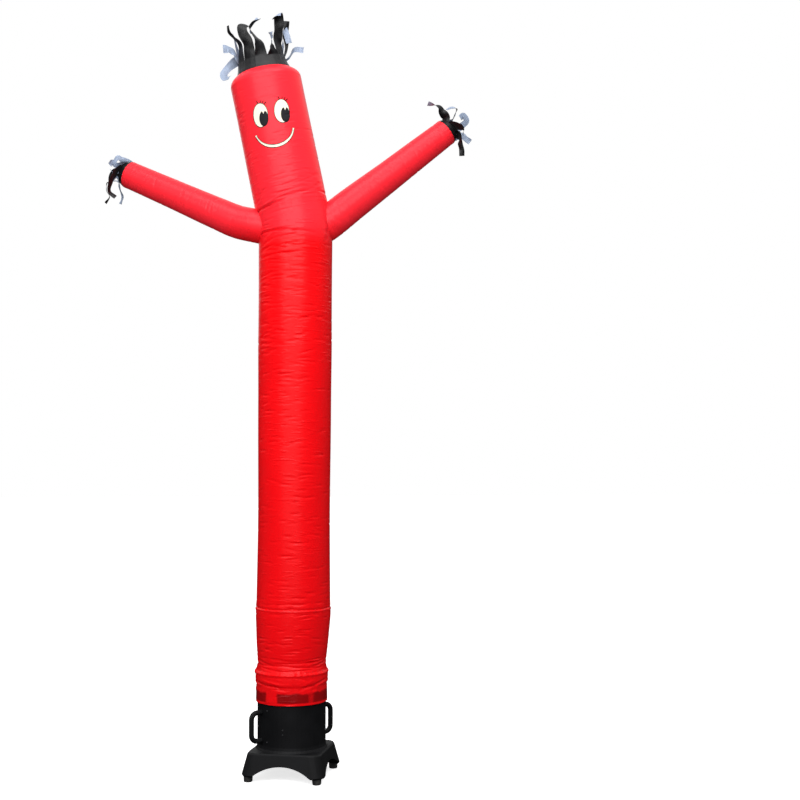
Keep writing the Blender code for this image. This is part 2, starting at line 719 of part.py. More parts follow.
def add_dancer(red, black, white, parent):
    cuff = gapped(level_stations(CUFF_SECTIONS), False, True)
    add_tube("base_cuff", cuff, red, parent)
    add_tube("lower_panel", gapped(level_stations(PANEL_SECTIONS), True, True), red, parent)
    body = add_tube("body_tube", gapped(body_stations(), True, True), red, parent)
    add_tube("head_panel", gapped(head_stations(), True, True), red, parent)
    for side, route in ARM_ROUTES.items():
        add_arm(side, body, red, parent)
        wrist, axis, _ = arm_stations(route)[-1]
        foot = wrist + axis * GAP / 2
        band, strips = HAND_BANDS[side], HAND_STRIPS[side]
        add_fringe(f"hand_fringe_{side}", foot, axis, FRONT, band, strips, black, parent)
    foot = head_point(HEAD_TOP_UP) + HEAD_AXIS * GAP / 2
    add_fringe("hair_fringe", foot, HEAD_AXIS, FRONT, HAIR_BAND, HAIR_STRIPS, black, parent)
    add_face(white, black, parent)


def main():
    for thing in list(bpy.data.objects):
        bpy.data.objects.remove(thing)
    red = principled("red_nylon", (0.92, 0.02, 0.03), 0.35)
    black = principled("black_nylon", (0.02, 0.02, 0.022), 0.4)
    white = principled("white_nylon", (0.86, 0.85, 0.78), 0.5)
    pupil_black = principled("pupil_black", (0.01, 0.01, 0.012), 0.4)
    plastic = principled("black_plastic", (0.02, 0.021, 0.023), 0.5)
    rubber = principled("black_rubber", (0.012, 0.012, 0.012), 0.8)
    steel = principled("dark_screws", (0.08, 0.08, 0.085), 0.4, 0.9)
    stand = add_empty("stand", (STAND_X, STAND_Y, 0))
    add_dancer(red, black, white, stand)
    for name in ("pupil_left", "pupil_right"):
        bpy.data.objects[name].data.materials[0] = pupil_black
    add_blower(plastic, rubber, steel, stand)


if __name__ == "__main__":
    main()
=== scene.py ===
"""Inflatable air dancer on its blower: nylon sheets, fringes, sewn face, plastic finish and stage."""

import math

import bpy
import numpy as np
from bpy.props import FloatProperty, FloatVectorProperty, IntProperty, PointerProperty
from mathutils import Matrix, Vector


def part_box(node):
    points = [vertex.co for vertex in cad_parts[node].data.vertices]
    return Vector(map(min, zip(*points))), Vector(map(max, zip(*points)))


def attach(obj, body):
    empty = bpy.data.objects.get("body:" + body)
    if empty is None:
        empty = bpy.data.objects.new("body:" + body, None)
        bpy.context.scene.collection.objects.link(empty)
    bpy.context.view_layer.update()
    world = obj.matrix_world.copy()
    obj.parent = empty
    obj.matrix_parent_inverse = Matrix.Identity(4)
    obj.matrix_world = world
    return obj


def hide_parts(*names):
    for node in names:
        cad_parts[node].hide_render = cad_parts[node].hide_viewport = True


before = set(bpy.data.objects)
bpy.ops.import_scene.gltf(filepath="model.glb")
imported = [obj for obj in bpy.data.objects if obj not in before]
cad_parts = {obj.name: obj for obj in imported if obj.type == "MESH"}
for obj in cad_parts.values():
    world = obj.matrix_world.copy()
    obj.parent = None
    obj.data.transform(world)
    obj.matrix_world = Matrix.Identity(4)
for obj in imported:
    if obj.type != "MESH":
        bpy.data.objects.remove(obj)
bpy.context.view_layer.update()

bl_info = {
    "name": "Air Dancer",
    "version": (1, 0, 0),
    "blender": (4, 5, 0),
    "location": "View3D > Sidebar > Air Dancer",
    "description": "Builds the cloth, fringes, face and finish of an inflatable air dancer",
    "category": "Object",
}

HOUSING_LOW, HOUSING_HIGH = (Vector(corner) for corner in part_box("blower_housing"))
STAND = Vector(((HOUSING_LOW.x + HOUSING_HIGH.x) / 2, (HOUSING_LOW.y + HOUSING_HIGH.y) / 2, 0))

# ---------------------------------------------------------------- user settings


class TubeSettings(bpy.types.PropertyGroup):
    """Sizes of the red tube, measured along its own line from the floor."""

    hem: FloatProperty(name="Hem", description="Height of the cuff's hem", default=0.3202, unit="LENGTH")
    cuff_seam: FloatProperty(
        name="Cuff seam", description="Height of the gathered seam", default=0.450, unit="LENGTH"
    )
    panel_seam: FloatProperty(
        name="Panel seam", description="Height of the puckered seam", default=0.720, unit="LENGTH"
    )
    bend: FloatProperty(
        name="Bend", description="Height where the head starts to tilt", default=2.360, unit="LENGTH"
    )
    neck: FloatProperty(
        name="Neck seam", description="Neck seam, along the tube's line", default=2.450, unit="LENGTH"
    )
    crown: FloatProperty(
        name="Crown", description="Top of the head, along the tube's line", default=3.051, unit="LENGTH"
    )
    head_tilt: FloatProperty(
        name="Head tilt",
        description="Tilt of the head to the left",
        default=math.radians(11.7),
        unit="ROTATION",
    )
    wall: FloatProperty(name="Cloth", description="Thickness of the nylon", default=0.0008, unit="LENGTH")
    columns: IntProperty(name="Columns", description="Faces round the tube", default=96, min=24)


class ClothColours(bpy.types.PropertyGroup):
    """Colours of the nylon, the face and the plastic."""

    red: FloatVectorProperty(
        name="Red nylon", description="Tube and arms", default=(0.84, 0.0, 0.0025), subtype="COLOR"
    )
    paler_red: FloatVectorProperty(
        name="Paler red",
        description="Nylon from the chest up, a paler red",
        default=(0.84, 0.017, 0.029),
        subtype="COLOR",
    )
    black: FloatVectorProperty(
        name="Black nylon",
        description="Outside of the fringes",
        default=(0.003, 0.003, 0.0038),
        subtype="COLOR",
    )
    pale: FloatVectorProperty(
        name="Pale nylon", description="Inside of the fringes", default=(0.25, 0.30, 0.40), subtype="COLOR"
    )
    cream: FloatVectorProperty(
        name="Cream nylon", description="Eyes and mouth", default=(0.76, 0.71, 0.57), subtype="COLOR"
    )
    plastic: FloatVectorProperty(
        name="Black plastic", description="Blower", default=(0.0035, 0.0036, 0.0042), subtype="COLOR"
    )


class StageSettings(bpy.types.PropertyGroup):
    """Camera and light."""

    distance: FloatProperty(
        name="Camera distance", description="From the tube's line", default=5.8, unit="LENGTH"
    )
    height: FloatProperty(name="Camera height", description="Above the floor", default=1.42, unit="LENGTH")
    lens: FloatProperty(name="Lens", description="Focal length in mm", default=60.03)
    key_power: FloatProperty(name="Key light", description="Power in watts", default=212.0)


# ---------------------------------------------------------------- short tables

# Red tube: place along its line and radius
TUBE_SECTIONS = (
    (0.3202, 0.1528),
    (0.330, 0.1532),
    (0.355, 0.1528),
    (0.375, 0.1522),
    (0.392, 0.1518),
    (0.405, 0.1555),
    (0.425, 0.1560),
    (0.440, 0.1550),
    (0.450, 0.1530),
    (0.462, 0.1496),
    (0.485, 0.1472),
    (0.515, 0.1492),
    (0.560, 0.1530),
    (0.630, 0.1570),
    (0.695, 0.1600),
    (0.720, 0.1588),
    (0.755, 0.1575),
    (1.130, 0.1560),
    (1.600, 0.1565),
    (1.900, 0.1600),
    (2.280, 0.1595),
    (2.360, 0.1575),
    (2.450, 0.1555),
    (2.490, 0.1562),
    (3.006, 0.1562),
    (3.018, 0.1535),
    (3.030, 0.1455),
    (3.040, 0.1340),
    (3.051, 0.1170),
)
# Drift of the tube's middle to the right, up to the bend: height and drift
DRIFT = ((0.30, 0.0), (0.45, 0.0), (0.72, 0.006), (2.40, 0.012), (3.2, 0.015))

# Main folds: turn from the front in degrees (right is plus), place along the line, half length, slope
# in degrees, half width and depth (a trough is minus)
CUFF_FOLDS = (
    (-48, 0.402, 0.085, -5, 0.0070, -0.0044),
    (-22, 0.393, 0.030, -22, 0.0060, -0.0026),
    (-36, 0.414, 0.050, -8, 0.0060, 0.0022),
    (42, 0.405, 0.062, 12, 0.0070, -0.0042),
    (22, 0.397, 0.026, 34, 0.0050, -0.0026),
    (28, 0.412, 0.024, 28, 0.0050, 0.0024),
    (31, 0.382, 0.026, 70, 0.0055, 0.0034),
    (37, 0.380, 0.026, 68, 0.0045, -0.0030),
    (43, 0.382, 0.028, 66, 0.0055, 0.0036),
    (2, 0.376, 0.034, 84, 0.0100, -0.0026),
    (-10, 0.372, 0.026, 98, 0.0070, 0.0024),
    (-34, 0.352, 0.020, 80, 0.0060, -0.0020),
    (62, 0.350, 0.022, 84, 0.0060, 0.0022),
    (120, 0.402, 0.110, 5, 0.0070, -0.0036),
    (-130, 0.401, 0.120, -4, 0.0070, -0.0038),
    (172, 0.384, 0.028, 74, 0.0060, 0.0028),
    (-95, 0.382, 0.026, 104, 0.0055, 0.0026),
)
PANEL_FOLDS = (
    (-30, 0.483, 0.095, 2, 0.0050, -0.0030),
    (24, 0.477, 0.080, -4, 0.0046, -0.0028),
    (4, 0.495, 0.120, 3, 0.0052, -0.0026),
    (-56, 0.492, 0.050, -9, 0.0050, -0.0030),
    (58, 0.488, 0.060, 7, 0.0050, -0.0028),
    (48, 0.501, 0.052, 5, 0.0046, -0.0022),
    (-12, 0.506, 0.070, -3, 0.0050, -0.0020),
    (32, 0.510, 0.060, 5, 0.0050, -0.0018),
    (-40, 0.467, 0.060, -5, 0.0042, -0.0022),
    (10, 0.465, 0.090, 2, 0.0040, -0.0022),
    (150, 0.485, 0.150, 2, 0.0056, -0.0030),
    (-140, 0.492, 0.140, -3, 0.0056, -0.0028),
    (100, 0.500, 0.090, 4, 0.0050, -0.0024),
    (-100, 0.478, 0.090, 3, 0.0050, -0.0026),
    (180, 0.510, 0.120, 0, 0.0050, -0.0020),
)
CHEST_FOLDS = (
    (-46, 2.332, 0.075, 3, 0.0085, -0.0085),
    (-10, 2.328, 0.070, -5, 0.0070, -0.0046),
    (18, 2.322, 0.040, -6, 0.0060, -0.0022),
    (-40, 2.314, 0.036, 34, 0.0052, 0.0042),
    (-24, 2.313, 0.050, 24, 0.0048, 0.0036),
    (-32, 2.302, 0.055, 25, 0.0046, -0.0030),
    (-4, 2.316, 0.040, 13, 0.0044, 0.0026),
    (-14, 2.306, 0.052, 13, 0.0044, -0.0024),
    (-50, 2.280, 0.040, 22, 0.0046, -0.0026),
    (-44, 2.259, 0.042, 18, 0.0046, -0.0026),
    (-12, 2.270, 0.055, 10, 0.0046, -0.0022),
    (0, 2.261, 0.050, 8, 0.0044, -0.0022),
    (-30, 2.226, 0.075, 8, 0.0050, -0.0026),
    (-8, 2.232, 0.050, 6, 0.0044, -0.0020),
    (-50, 2.352, 0.030, -6, 0.0050, -0.0024),
    (-52, 2.368, 0.024, -4, 0.0046, -0.0022),
    (-46, 2.394, 0.030, 6, 0.0046, -0.0018),
    (-20, 2.423, 0.050, 3, 0.0044, -0.0016),
    (55, 2.332, 0.034, 74, 0.0048, 0.0030),
    (60, 2.330, 0.040, 70, 0.0048, -0.0030),
    (40, 2.185, 0.040, -4, 0.0044, -0.0014),
    (150, 2.325, 0.110, 3, 0.0080, -0.0060),
    (-150, 2.332, 0.100, -5, 0.0080, -0.0064),
    (170, 2.280, 0.090, -9, 0.0060, -0.0034),
    (-165, 2.242, 0.080, 7, 0.0056, -0.0028),
)
NECK_FOLDS = (
    (-60, 2.454, 0.060, 5, 0.0075, -0.0085),
    (-28, 2.460, 0.065, 9, 0.0065, -0.0055),
    (-34, 2.472, 0.055, 14, 0.0050, 0.0034),
    (0, 2.480, 0.060, 4, 0.0055, -0.0042),
    (20, 2.487, 0.040, -4, 0.0046, -0.0026),
    (-4, 2.500, 0.060, 3, 0.0046, -0.0024),
    (-58, 2.496, 0.030, 30, 0.0050, -0.0036),
    (-50, 2.518, 0.030, 26, 0.0046, -0.0026),
    (-6, 2.528, 0.034, 4, 0.0042, -0.0018),
    (30, 2.525, 0.034, -10, 0.0042, -0.0014),
    (70, 2.480, 0.050, -3, 0.0060, -0.0034),
    (160, 2.466, 0.120, 2, 0.0070, -0.0056),
    (-140, 2.460, 0.110, -4, 0.0070, -0.0060),
    (-170, 2.492, 0.080, 4, 0.0055, -0.0030),
)

# Gathers at the seams: seam, shift up from it, reach, count round the tube, depth and seed
SEAM_GATHERS = (
    ("cuff_seam", 0.002, 0.014, 34, 0.0034, 31),
    ("panel_seam", 0.0, 0.018, 46, 0.0026, 32),
    ("neck", 0.0, 0.016, 40, 0.0011, 33),
    ("crown", 0.0, 0.022, 34, 0.0014, 34),
)
# Ridges and grooves along the seams: seam, shift up from it, half width and height (a groove is minus)
SEAM_RIDGES = (
    ("cuff_seam", -0.004, 0.006, 0.0040),
    ("panel_seam", -0.007, 0.004, 0.0020),
    ("panel_seam", 0.0, 0.003, -0.0024),
)
OVAL_DEPTH, OVAL_FROM, OVAL_SOFT = 0.0012, 0.5, 0.2  # the tube is a little out of round above the waist

# Fine creases, scattered: seed, count, first and last turn, first and last place along the line
CUFF_SCATTER = ((3, 26, -180, 180, 0.310, 0.440),)
PANEL_SCATTER = ((5, 60, -180, 180, 0.470, 0.580), (6, 60, -180, 180, 0.580, 0.715))
BODY_SCATTER = (
    (11, 90, -60, 15, 1.880, 2.310),
    (12, 70, -65, 20, 1.480, 1.900),
    (13, 80, -75, 60, 0.740, 1.480),
    (14, 40, 10, 85, 0.780, 2.280),
    (15, 150, 90, 270, 0.740, 2.330),
    (16, 44, -180, 180, 0.725, 0.780),
)
HEAD_SCATTER = (
    (21, 60, -60, 60, 2.470, 2.580),
    (22, 46, -180, 180, 2.580, 3.000),
    (23, 60, 70, 290, 2.470, 2.930),
)

# Arms: x, y and z of the centre line from inside the shoulder to the wrist, set out from the blower's
# axis, and radius
ARM_ROUTES = {
    "left": (
        (-0.050, 0.000, 2.345, 0.0740),
        (-0.145, 0.004, 2.364, 0.0735),
        (-0.235, 0.034, 2.387, 0.0725),
        (-0.330, 0.076, 2.431, 0.0700),
        (-0.530, 0.163, 2.530, 0.0645),
        (-0.734, 0.250, 2.630, 0.0605),
    ),
    "right": (
        (0.060, 0.000, 2.320, 0.0760),
        (0.159, 0.000, 2.389, 0.0757),
        (0.250, 0.012, 2.464, 0.0735),
        (0.420, 0.038, 2.600, 0.0670),
        (0.560, 0.061, 2.714, 0.0625),
        (0.679, 0.080, 2.810, 0.0585),
    ),
}
ARM_FOLDS = {
    "left": (
        (0, 0.130, 0.060, 80, 0.0060, -0.0022),
        (60, 0.150, 0.050, 84, 0.0050, -0.0018),
        (-60, 0.165, 0.050, 96, 0.0050, -0.0018),
        (20, 0.360, 0.040, 82, 0.0044, -0.0014),
        (-20, 0.560, 0.040, 94, 0.0044, -0.0014),
    ),
    "right": (
        (0, 0.150, 0.060, 84, 0.0060, -0.0022),
        (-50, 0.170, 0.050, 80, 0.0050, -0.0020),
        (50, 0.200, 0.050, 98, 0.0050, -0.0016),
        (0, 0.430, 0.040, 84, 0.0044, -0.0014),
        (-20, 0.600, 0.040, 96, 0.0044, -0.0014),
    ),
}

FOLD_RADIUS, ARM_FOLD_RADIUS = 0.153, 0.065  # turn a fold's place round the tube or arm into an arc
ARM_SEEDS = {"left": 41, "right": 42}
ARM_CREASES = 110
ARM_CREASE_FROM, ARM_CREASE_SHORT = 0.08, 0.02  # clear of the shoulder and of the wrist
SHOULDER_LOW, SHOULDER_HIGH = 2.15, 2.75  # stretch of the tube where the arms leave it
BEND_HALF = 0.07  # the head's tilt comes in over this much below and above the bend

# Fringes: bands by distance along the axis and radius
HAIR_BAND = ((0.0, 0.1175), (0.010, 0.1145), (0.022, 0.1100), (0.050, 0.1030))
HAND_BANDS = {
    "left": ((0.0, 0.0605), (0.006, 0.0590), (0.014, 0.0555), (0.026, 0.0515)),
    "right": ((0.0, 0.0585), (0.005, 0.0570), (0.012, 0.0540), (0.022, 0.0500)),
}

# Strips: width at the tip, twist over the length in degrees, then the route's points (x, y, z) from
# the middle of the band's foot. The first strip roots at the front; the rest go round to the right.
HAIR_STRIPS = (
    (0.042, 150, ((-0.018, -0.112, 0.100), (-0.044, -0.118, 0.140), (-0.056, -0.112, 0.158),
                  (-0.040, -0.106, 0.184), (-0.018, -0.102, 0.204))),
    (0.026, 100, ((0.034, -0.104, 0.098), (0.034, -0.108, 0.124), (0.028, -0.114, 0.146))),
    (0.044, -60, ((0.060, -0.072, 0.115), (0.062, -0.076, 0.166), (0.064, -0.078, 0.204),
                  (0.060, -0.092, 0.228), (0.050, -0.114, 0.214))),
    (0.027, -75, ((0.098, -0.012, 0.112), (0.097, -0.022, 0.158), (0.098, -0.030, 0.222))),
    (0.026, 80, ((0.108, 0.022, 0.078), (0.132, 0.004, 0.106), (0.172, -0.008, 0.102))),
    (0.025, -150, ((0.074, 0.050, 0.110), (0.082, 0.024, 0.164), (0.086, -0.014, 0.192),
                   (0.096, -0.046, 0.164), (0.110, -0.054, 0.118))),
    (0.036, 20, ((-0.010, 0.108, 0.100), (-0.020, 0.116, 0.140), (-0.024, 0.126, 0.172))),
    (0.034, 30, ((-0.058, 0.098, 0.100), (-0.066, 0.104, 0.140), (-0.068, 0.106, 0.168))),
    (0.032, 50, ((-0.112, 0.020, 0.056), (-0.144, 0.004, 0.030), (-0.172, -0.018, -0.010),
                 (-0.166, -0.036, -0.036), (-0.146, -0.050, -0.034))),
    (0.038, -55, ((-0.122, -0.008, 0.076), (-0.148, -0.020, 0.094), (-0.176, -0.030, 0.094))),
    (0.018, 10, ((-0.100, -0.064, 0.100), (-0.128, -0.070, 0.130), (-0.150, -0.074, 0.153),
                 (-0.156, -0.076, 0.180))),
    (0.044, 30, ((-0.066, -0.100, 0.100), (-0.088, -0.106, 0.140), (-0.092, -0.100, 0.172),
                 (-0.080, -0.086, 0.186))),
)
HAND_STRIPS = {
    "left": (
        (0.024, 30, ((-0.058, -0.062, -0.006), (-0.076, -0.072, -0.056), (-0.078, -0.070, -0.090),
                     (-0.052, -0.066, -0.112))),
        (0.022, 100, ((-0.050, -0.034, 0.036), (-0.074, -0.046, 0.048), (-0.080, -0.066, 0.030))),
        (0.024, 110, ((-0.034, 0.010, 0.070), (-0.052, 0.004, 0.080), (-0.070, 0.000, 0.062))),
        (0.022, 200, ((-0.050, 0.060, 0.040), (-0.090, 0.084, 0.020), (-0.106, 0.090, -0.030))),
        (0.024, 25, ((-0.060, 0.050, -0.020), (-0.104, 0.052, -0.026), (-0.108, 0.050, -0.062),
                     (-0.094, 0.048, -0.092), (-0.112, 0.046, -0.122))),
        (0.022, -30, ((-0.040, -0.008, -0.068), (-0.030, 0.000, -0.100), (-0.040, 0.004, -0.132))),
    ),
    "right": (
        (0.024, 20, ((0.054, -0.066, 0.012), (0.070, -0.086, -0.004), (0.064, -0.090, -0.034))),
        (0.024, -120, ((0.056, -0.048, -0.030), (0.056, -0.056, -0.060), (0.064, -0.054, -0.088),
                       (0.066, -0.050, -0.116))),
        (0.026, 35, ((0.070, 0.006, -0.012), (0.088, 0.004, -0.026), (0.110, 0.002, -0.042))),
        (0.026, 30, ((0.060, 0.050, 0.030), (0.084, 0.054, 0.048), (0.100, 0.050, 0.066),
                     (0.086, 0.044, 0.088), (0.070, 0.040, 0.076))),
        (0.024, 40, ((0.026, 0.046, 0.060), (0.042, 0.046, 0.086), (0.052, 0.042, 0.116),
                     (0.030, 0.030, 0.116), (0.010, 0.024, 0.106))),
        (0.024, 215, ((-0.004, -0.024, 0.064), (-0.020, -0.030, 0.084), (-0.034, -0.034, 0.106),
                      (-0.084, -0.040, 0.118))),
    ),
}

FRINGE_WALL = 0.0006
GATHER = 1.3  # flat width of a fringe's band for each length round it
BAND_ALLOWANCE = 1.05  # area of the gathered band for each area of a smooth one
TIP_SHARE, ROOT_SHARE = 0.80, 0.28  # of the tip's and the root's width in a strip's mean width
ROUGH_TURN = 6.28  # a full turn, near enough for an uneven phase

# Face, set out on the head: arcs across its front, places along the tube's line
FACE_TURN = math.radians(-3.5)
EYE_ARC, EYE_ALONG, EYE_HALF_ARC, EYE_HALF_UP = 0.047, 2.836, 0.0335, 0.0510
EYE_TURN = math.radians(9)  # the eyes stand more upright than the head
PUPIL_ARC, PUPIL_UP, PUPIL_HALF_ARC, PUPIL_HALF_UP = 0.012, -0.017, 0.020, 0.033
MOUTH_HALF_ARC, MOUTH_DROP, MOUTH_DEPTH, MOUTH_THICK = 0.085, 0.078, 0.064, 0.0135
MOUTH_ROUND = 0.96  # 1 is a half ellipse and 0 is flat
MOUTH_ARC = -0.003
MOUTH_CLOTH = (2.4 * MOUTH_HALF_ARC, 0.018)  # stated flat size, a little wider than the mouth
MOUTH_END_LEAN = 1.3  # lean of the mouth's very ends, in radians
HEAD_RADIUS = 0.1563
PATCH_LIFT, PUPIL_LIFT, THREAD_LIFT = 0.0010, 0.0017, 0.0014  # above the head's own surface
PATCH_WALL = 0.0005
RIM_THREAD, LASH_THREAD, MOUTH_THREAD = 0.0013, 0.0016, 0.0012  # radii of the raised stitching
PUPIL_NOTCH = (1.62, 0.36, 0.5)  # where the wedge points, half its angle, and its depth
# Lashes: arc and height of the root from the eye's middle, lean of the tip, and length
LASHES = (
    (-0.009, 0.0490, -0.006, 0.012),
    (0.002, 0.0505, 0.003, 0.011),
    (0.011, 0.0480, 0.006, 0.012),
    (0.019, 0.0425, 0.009, 0.012),
)

# ---------------------------------------------------------------- materials

PALER_FROM, PALER_SOFT = 2.34, 0.07  # height where the paler red begins, and half its blend
SHADE_LOW, SHADE_HIGH = 0.330, 0.380  # heights of the painted shade band where the blower's rim lies under the cuff


class Signal:
    """A value on its way through a material; arithmetic on it adds the nodes."""

    def __init__(self, tree, socket):
        self.tree = tree
        self.socket = socket

    def _math(self, operation, *values):
        node = self.tree.nodes.new("ShaderNodeMath")
        node.operation = operation
        for slot, value in zip(node.inputs, values):
            feed(self.tree, slot, value)
        return Signal(self.tree, node.outputs[0])

    def __add__(self, other):
        return self._math("ADD", self, other)

    def __radd__(self, other):
        return self._math("ADD", other, self)

    def __sub__(self, other):
        return self._math("SUBTRACT", self, other)

    def __rsub__(self, other):
        return self._math("SUBTRACT", other, self)

    def __mul__(self, other):
        return self._math("MULTIPLY", self, other)

    def __rmul__(self, other):
        return self._math("MULTIPLY", other, self)

    def __truediv__(self, other):
        return self._math("DIVIDE", self, other)

    def __rtruediv__(self, other):
        return self._math("DIVIDE", other, self)

    def above(self, edge, soft):
        """0 below the edge and 1 above it, over a soft width."""
        node = self.tree.nodes.new("ShaderNodeMapRange")
        node.interpolation_type = "SMOOTHSTEP"
        for name, value in (("Value", self), ("From Min", edge - soft), ("From Max", edge + soft)):
            feed(self.tree, node.inputs[name], value)
        return Signal(self.tree, node.outputs["Result"])

    def sine(self):
        return self._math("SINE", self)

    def size(self):
        return self._math("ABSOLUTE", self)


def feed(tree, slot, value):
    if isinstance(value, Signal):
        tree.links.new(value.socket, slot)
    else:
        slot.default_value = value


class Finish:
    """A material under construction, with its Principled shader."""

    def __init__(self, name, **constants):
        self.material = bpy.data.materials.new(name)
        self.material.use_nodes = True
        self.tree = self.material.node_tree
        self.shader = self.tree.nodes["Principled BSDF"]
        for words, value in constants.items():
            self.shader.inputs[words.replace("_", " ")].default_value = value

    def node(self, kind, values=(), output=0, **settings):
        """Any node: its settings first, then the values or signals of its sockets."""
        made = self.tree.nodes.new(kind)
        for name, value in settings.items():
            setattr(made, name, value)
        for name, value in dict(values).items():
            feed(self.tree, made.inputs[name], value)
        return Signal(self.tree, made.outputs[output])

    def place(self):
        return self.node("ShaderNodeTexCoord", output="Object")

    def map_axes(self):
        """The piece's own map in metres: round the cloth and along it."""
        parts = self.tree.nodes.new("ShaderNodeSeparateXYZ")
        self.tree.links.new(self.node("ShaderNodeTexCoord", output="UV").socket, parts.inputs[0])
        return Signal(self.tree, parts.outputs[0]), Signal(self.tree, parts.outputs[1])

    def place_axes(self):
        parts = self.tree.nodes.new("ShaderNodeSeparateXYZ")
        self.tree.links.new(self.place().socket, parts.inputs[0])
        return [Signal(self.tree, parts.outputs[i]) for i in range(3)]

    def noise(self, vector, scale, detail=3.0, roughness=0.5):
        values = {"Vector": vector, "Scale": scale, "Detail": detail, "Roughness": roughness}
        return self.node("ShaderNodeTexNoise", values, "Fac")

    def stretched(self, vector, scale):
        return self.node("ShaderNodeMapping", {"Vector": vector, "Scale": scale})

    def mix(self, share, first, second):
        return self.node(
            "ShaderNodeMix", {0: share, 6: first, 7: second}, 2, data_type="RGBA", blend_type="MIX"
        )

    def set(self, socket, signal):
        feed(self.tree, self.shader.inputs[socket], signal)

    def bump(self, height, distance, strength=1.0):
        values = {"Height": height, "Distance": distance, "Strength": strength}
        self.set("Normal", self.node("ShaderNodeBump", values, "Normal"))


def rgba(colour, times=1.0):
    return (colour[0] * times, colour[1] * times, colour[2] * times, 1.0)


def ripstop(finish, pitch=0.005, thread=0.0006):
    """A fine square grid of threads, as a height."""
    across, along = finish.map_axes()
    height = None
    for axis in (across, along):
        wave = (axis * (2 * math.pi / pitch)).sine().size()
        line = wave.above(math.pi * thread / pitch, 0.25)
        height = line if height is None else height * line
    return 1 - height


def crinkles(finish):
    """Fine creases of thin nylon, mostly across the cloth's length."""
    across, along = finish.map_axes()
    map_place = finish.node("ShaderNodeTexCoord", output="UV")
    level = finish.noise(finish.stretched(map_place, (9.0, 85.0, 1.0)), 1.0, 2.0, 0.55)
    slanted = finish.node(
        "ShaderNodeMapping",
        {"Vector": map_place, "Rotation": (0, 0, 0.5), "Scale": (16.0, 60.0, 1.0)},
    )
    loose = finish.noise(slanted, 1.0, 2.0, 0.5)
    patches = finish.noise(finish.stretched(map_place, (5.0, 4.0, 1.0)), 1.0, 1.0).above(0.5, 0.2)
    creases = level.above(0.63, 0.09) * 0.7 + loose.above(0.64, 0.09) * 0.6
    return creases * (0.2 + patches * 0.8)


def stitch_rows(finish, rows, run=0.004):
    """Dashes along the cloth at the given places: 1 on the thread."""
    across, along = finish.map_axes()
    dash = (across * (2 * math.pi / run)).sine().above(-0.3, 0.3)
    total = None
    for row in rows:
        line = 1 - (along - row).size().above(0.0008, 0.0003)
        total = line if total is None else total + line
    return total * dash


def red_nylon(colours, name, rows=(), band=None):
    """Satin nylon: uneven red, paler above the chest, with its weave, creases and rows of stitches, and a
    band of painted shade where one is given.
    """
    finish = Finish(name, Roughness=0.34)
    finish.shader.inputs["Specular IOR Level"].default_value = 0.2
    finish.shader.inputs["Specular Tint"].default_value = (1.0, 0.8, 0.85, 1.0)
    base, deep = rgba(colours.red), rgba(colours.red, 0.80)
    cloud = finish.noise(finish.place(), 6.0, 4.0)
    colour = finish.mix(cloud.above(0.5, 0.3) * 0.35, base, deep)
    height_up = finish.place_axes()[2] + cloud * 0.04
    # paler red from the chest up, a colour change by height
    colour = finish.mix(height_up.above(PALER_FROM, PALER_SOFT), colour, rgba(colours.paler_red))
    height = ripstop(finish) * 0.35
    if rows:
        thread = stitch_rows(finish, rows)
        colour = finish.mix(thread * 0.7, colour, rgba(colours.red, 0.35))
        height = height - thread * 0.8
    # the band is painted shade: a darker red where the cloth lies on the blower's rim
    if band is not None:
        colour = finish.mix(band(finish) * 0.8, colour, rgba(colours.red, 0.13))
    finish.set("Base Color", colour)
    finish.set("Roughness", 0.30 + finish.noise(finish.place(), 30.0, 2.0) * 0.08)
    finish.bump(height * 0.03 + crinkles(finish), 0.0020, 0.6)
    return finish.material


def rim_shadow(finish):
    """Painted shade: a darker band where the cloth lies on the blower's black rim."""
    x, _, z = finish.place_axes()
    wander = finish.noise(finish.stretched(finish.place(), (1.0, 1.0, 0.3)), 26.0, 2.0)
    low = z.above(SHADE_LOW, 0.004)
    high = 1 - (z + wander * 0.020).above(SHADE_HIGH, 0.006)
    left_gap = (x + 0.050 + wander * 0.016).size().above(0.022, 0.006)
    right_gap = (x + wander * 0.016 - 0.117).size().above(0.009, 0.006)
    return low * high * left_gap * (0.5 + right_gap * 0.5)


def fringe_nylon(colours, name, colour, roughness):
    finish = Finish(name, Roughness=roughness, Sheen_Weight=0.03)
    finish.shader.inputs["Specular IOR Level"].default_value = 0.25
    cloud = finish.noise(finish.place(), 26.0, 3.0)
    finish.set("Base Color", finish.mix(cloud.above(0.5, 0.25) * 0.6, rgba(colour), rgba(colour, 0.72)))
    finish.set("Roughness", roughness - 0.06 + cloud * 0.12)
    finish.bump(ripstop(finish) * 0.4 + finish.noise(finish.place(), 90.0, 2.0) * 0.6, 0.0006, 0.5)
    return finish.material


def face_cloth(name, colour, roughness=0.5):
    """Plain cloth patch with a fine twill."""
    finish = Finish(name, Roughness=roughness)
    finish.shader.inputs["Specular IOR Level"].default_value = 0.2
    weave = finish.node(
        "ShaderNodeTexWave",
        {"Vector": finish.place(), "Scale": 260.0, "Distortion": 0.4},
        "Fac",
        bands_direction="DIAGONAL",
    )
    soil = finish.noise(finish.place(), 40.0, 3.0)
    finish.set("Base Color", finish.mix(soil * 0.25, rgba(colour), rgba(colour, 0.85)))
    finish.bump(weave * 0.5, 0.0002, 0.4)
    return finish.material


def moulded_plastic(colours):
    """Black plastic with a fine grain, a little paler in patches."""
    finish = Finish("moulded_plastic", Roughness=0.5)
    finish.shader.inputs["Specular IOR Level"].default_value = 0.14
    grain = finish.noise(finish.place(), 900.0, 2.0)
    patch = finish.noise(finish.place(), 11.0, 4.0)
    colour = finish.mix(patch.above(0.55, 0.2) * 0.5, rgba(colours.plastic), rgba(colours.plastic, 1.9))
    finish.set("Base Color", colour)
    finish.set("Roughness", 0.46 + patch * 0.16)
    finish.bump(grain, 0.0003, 0.35)
    return finish.material


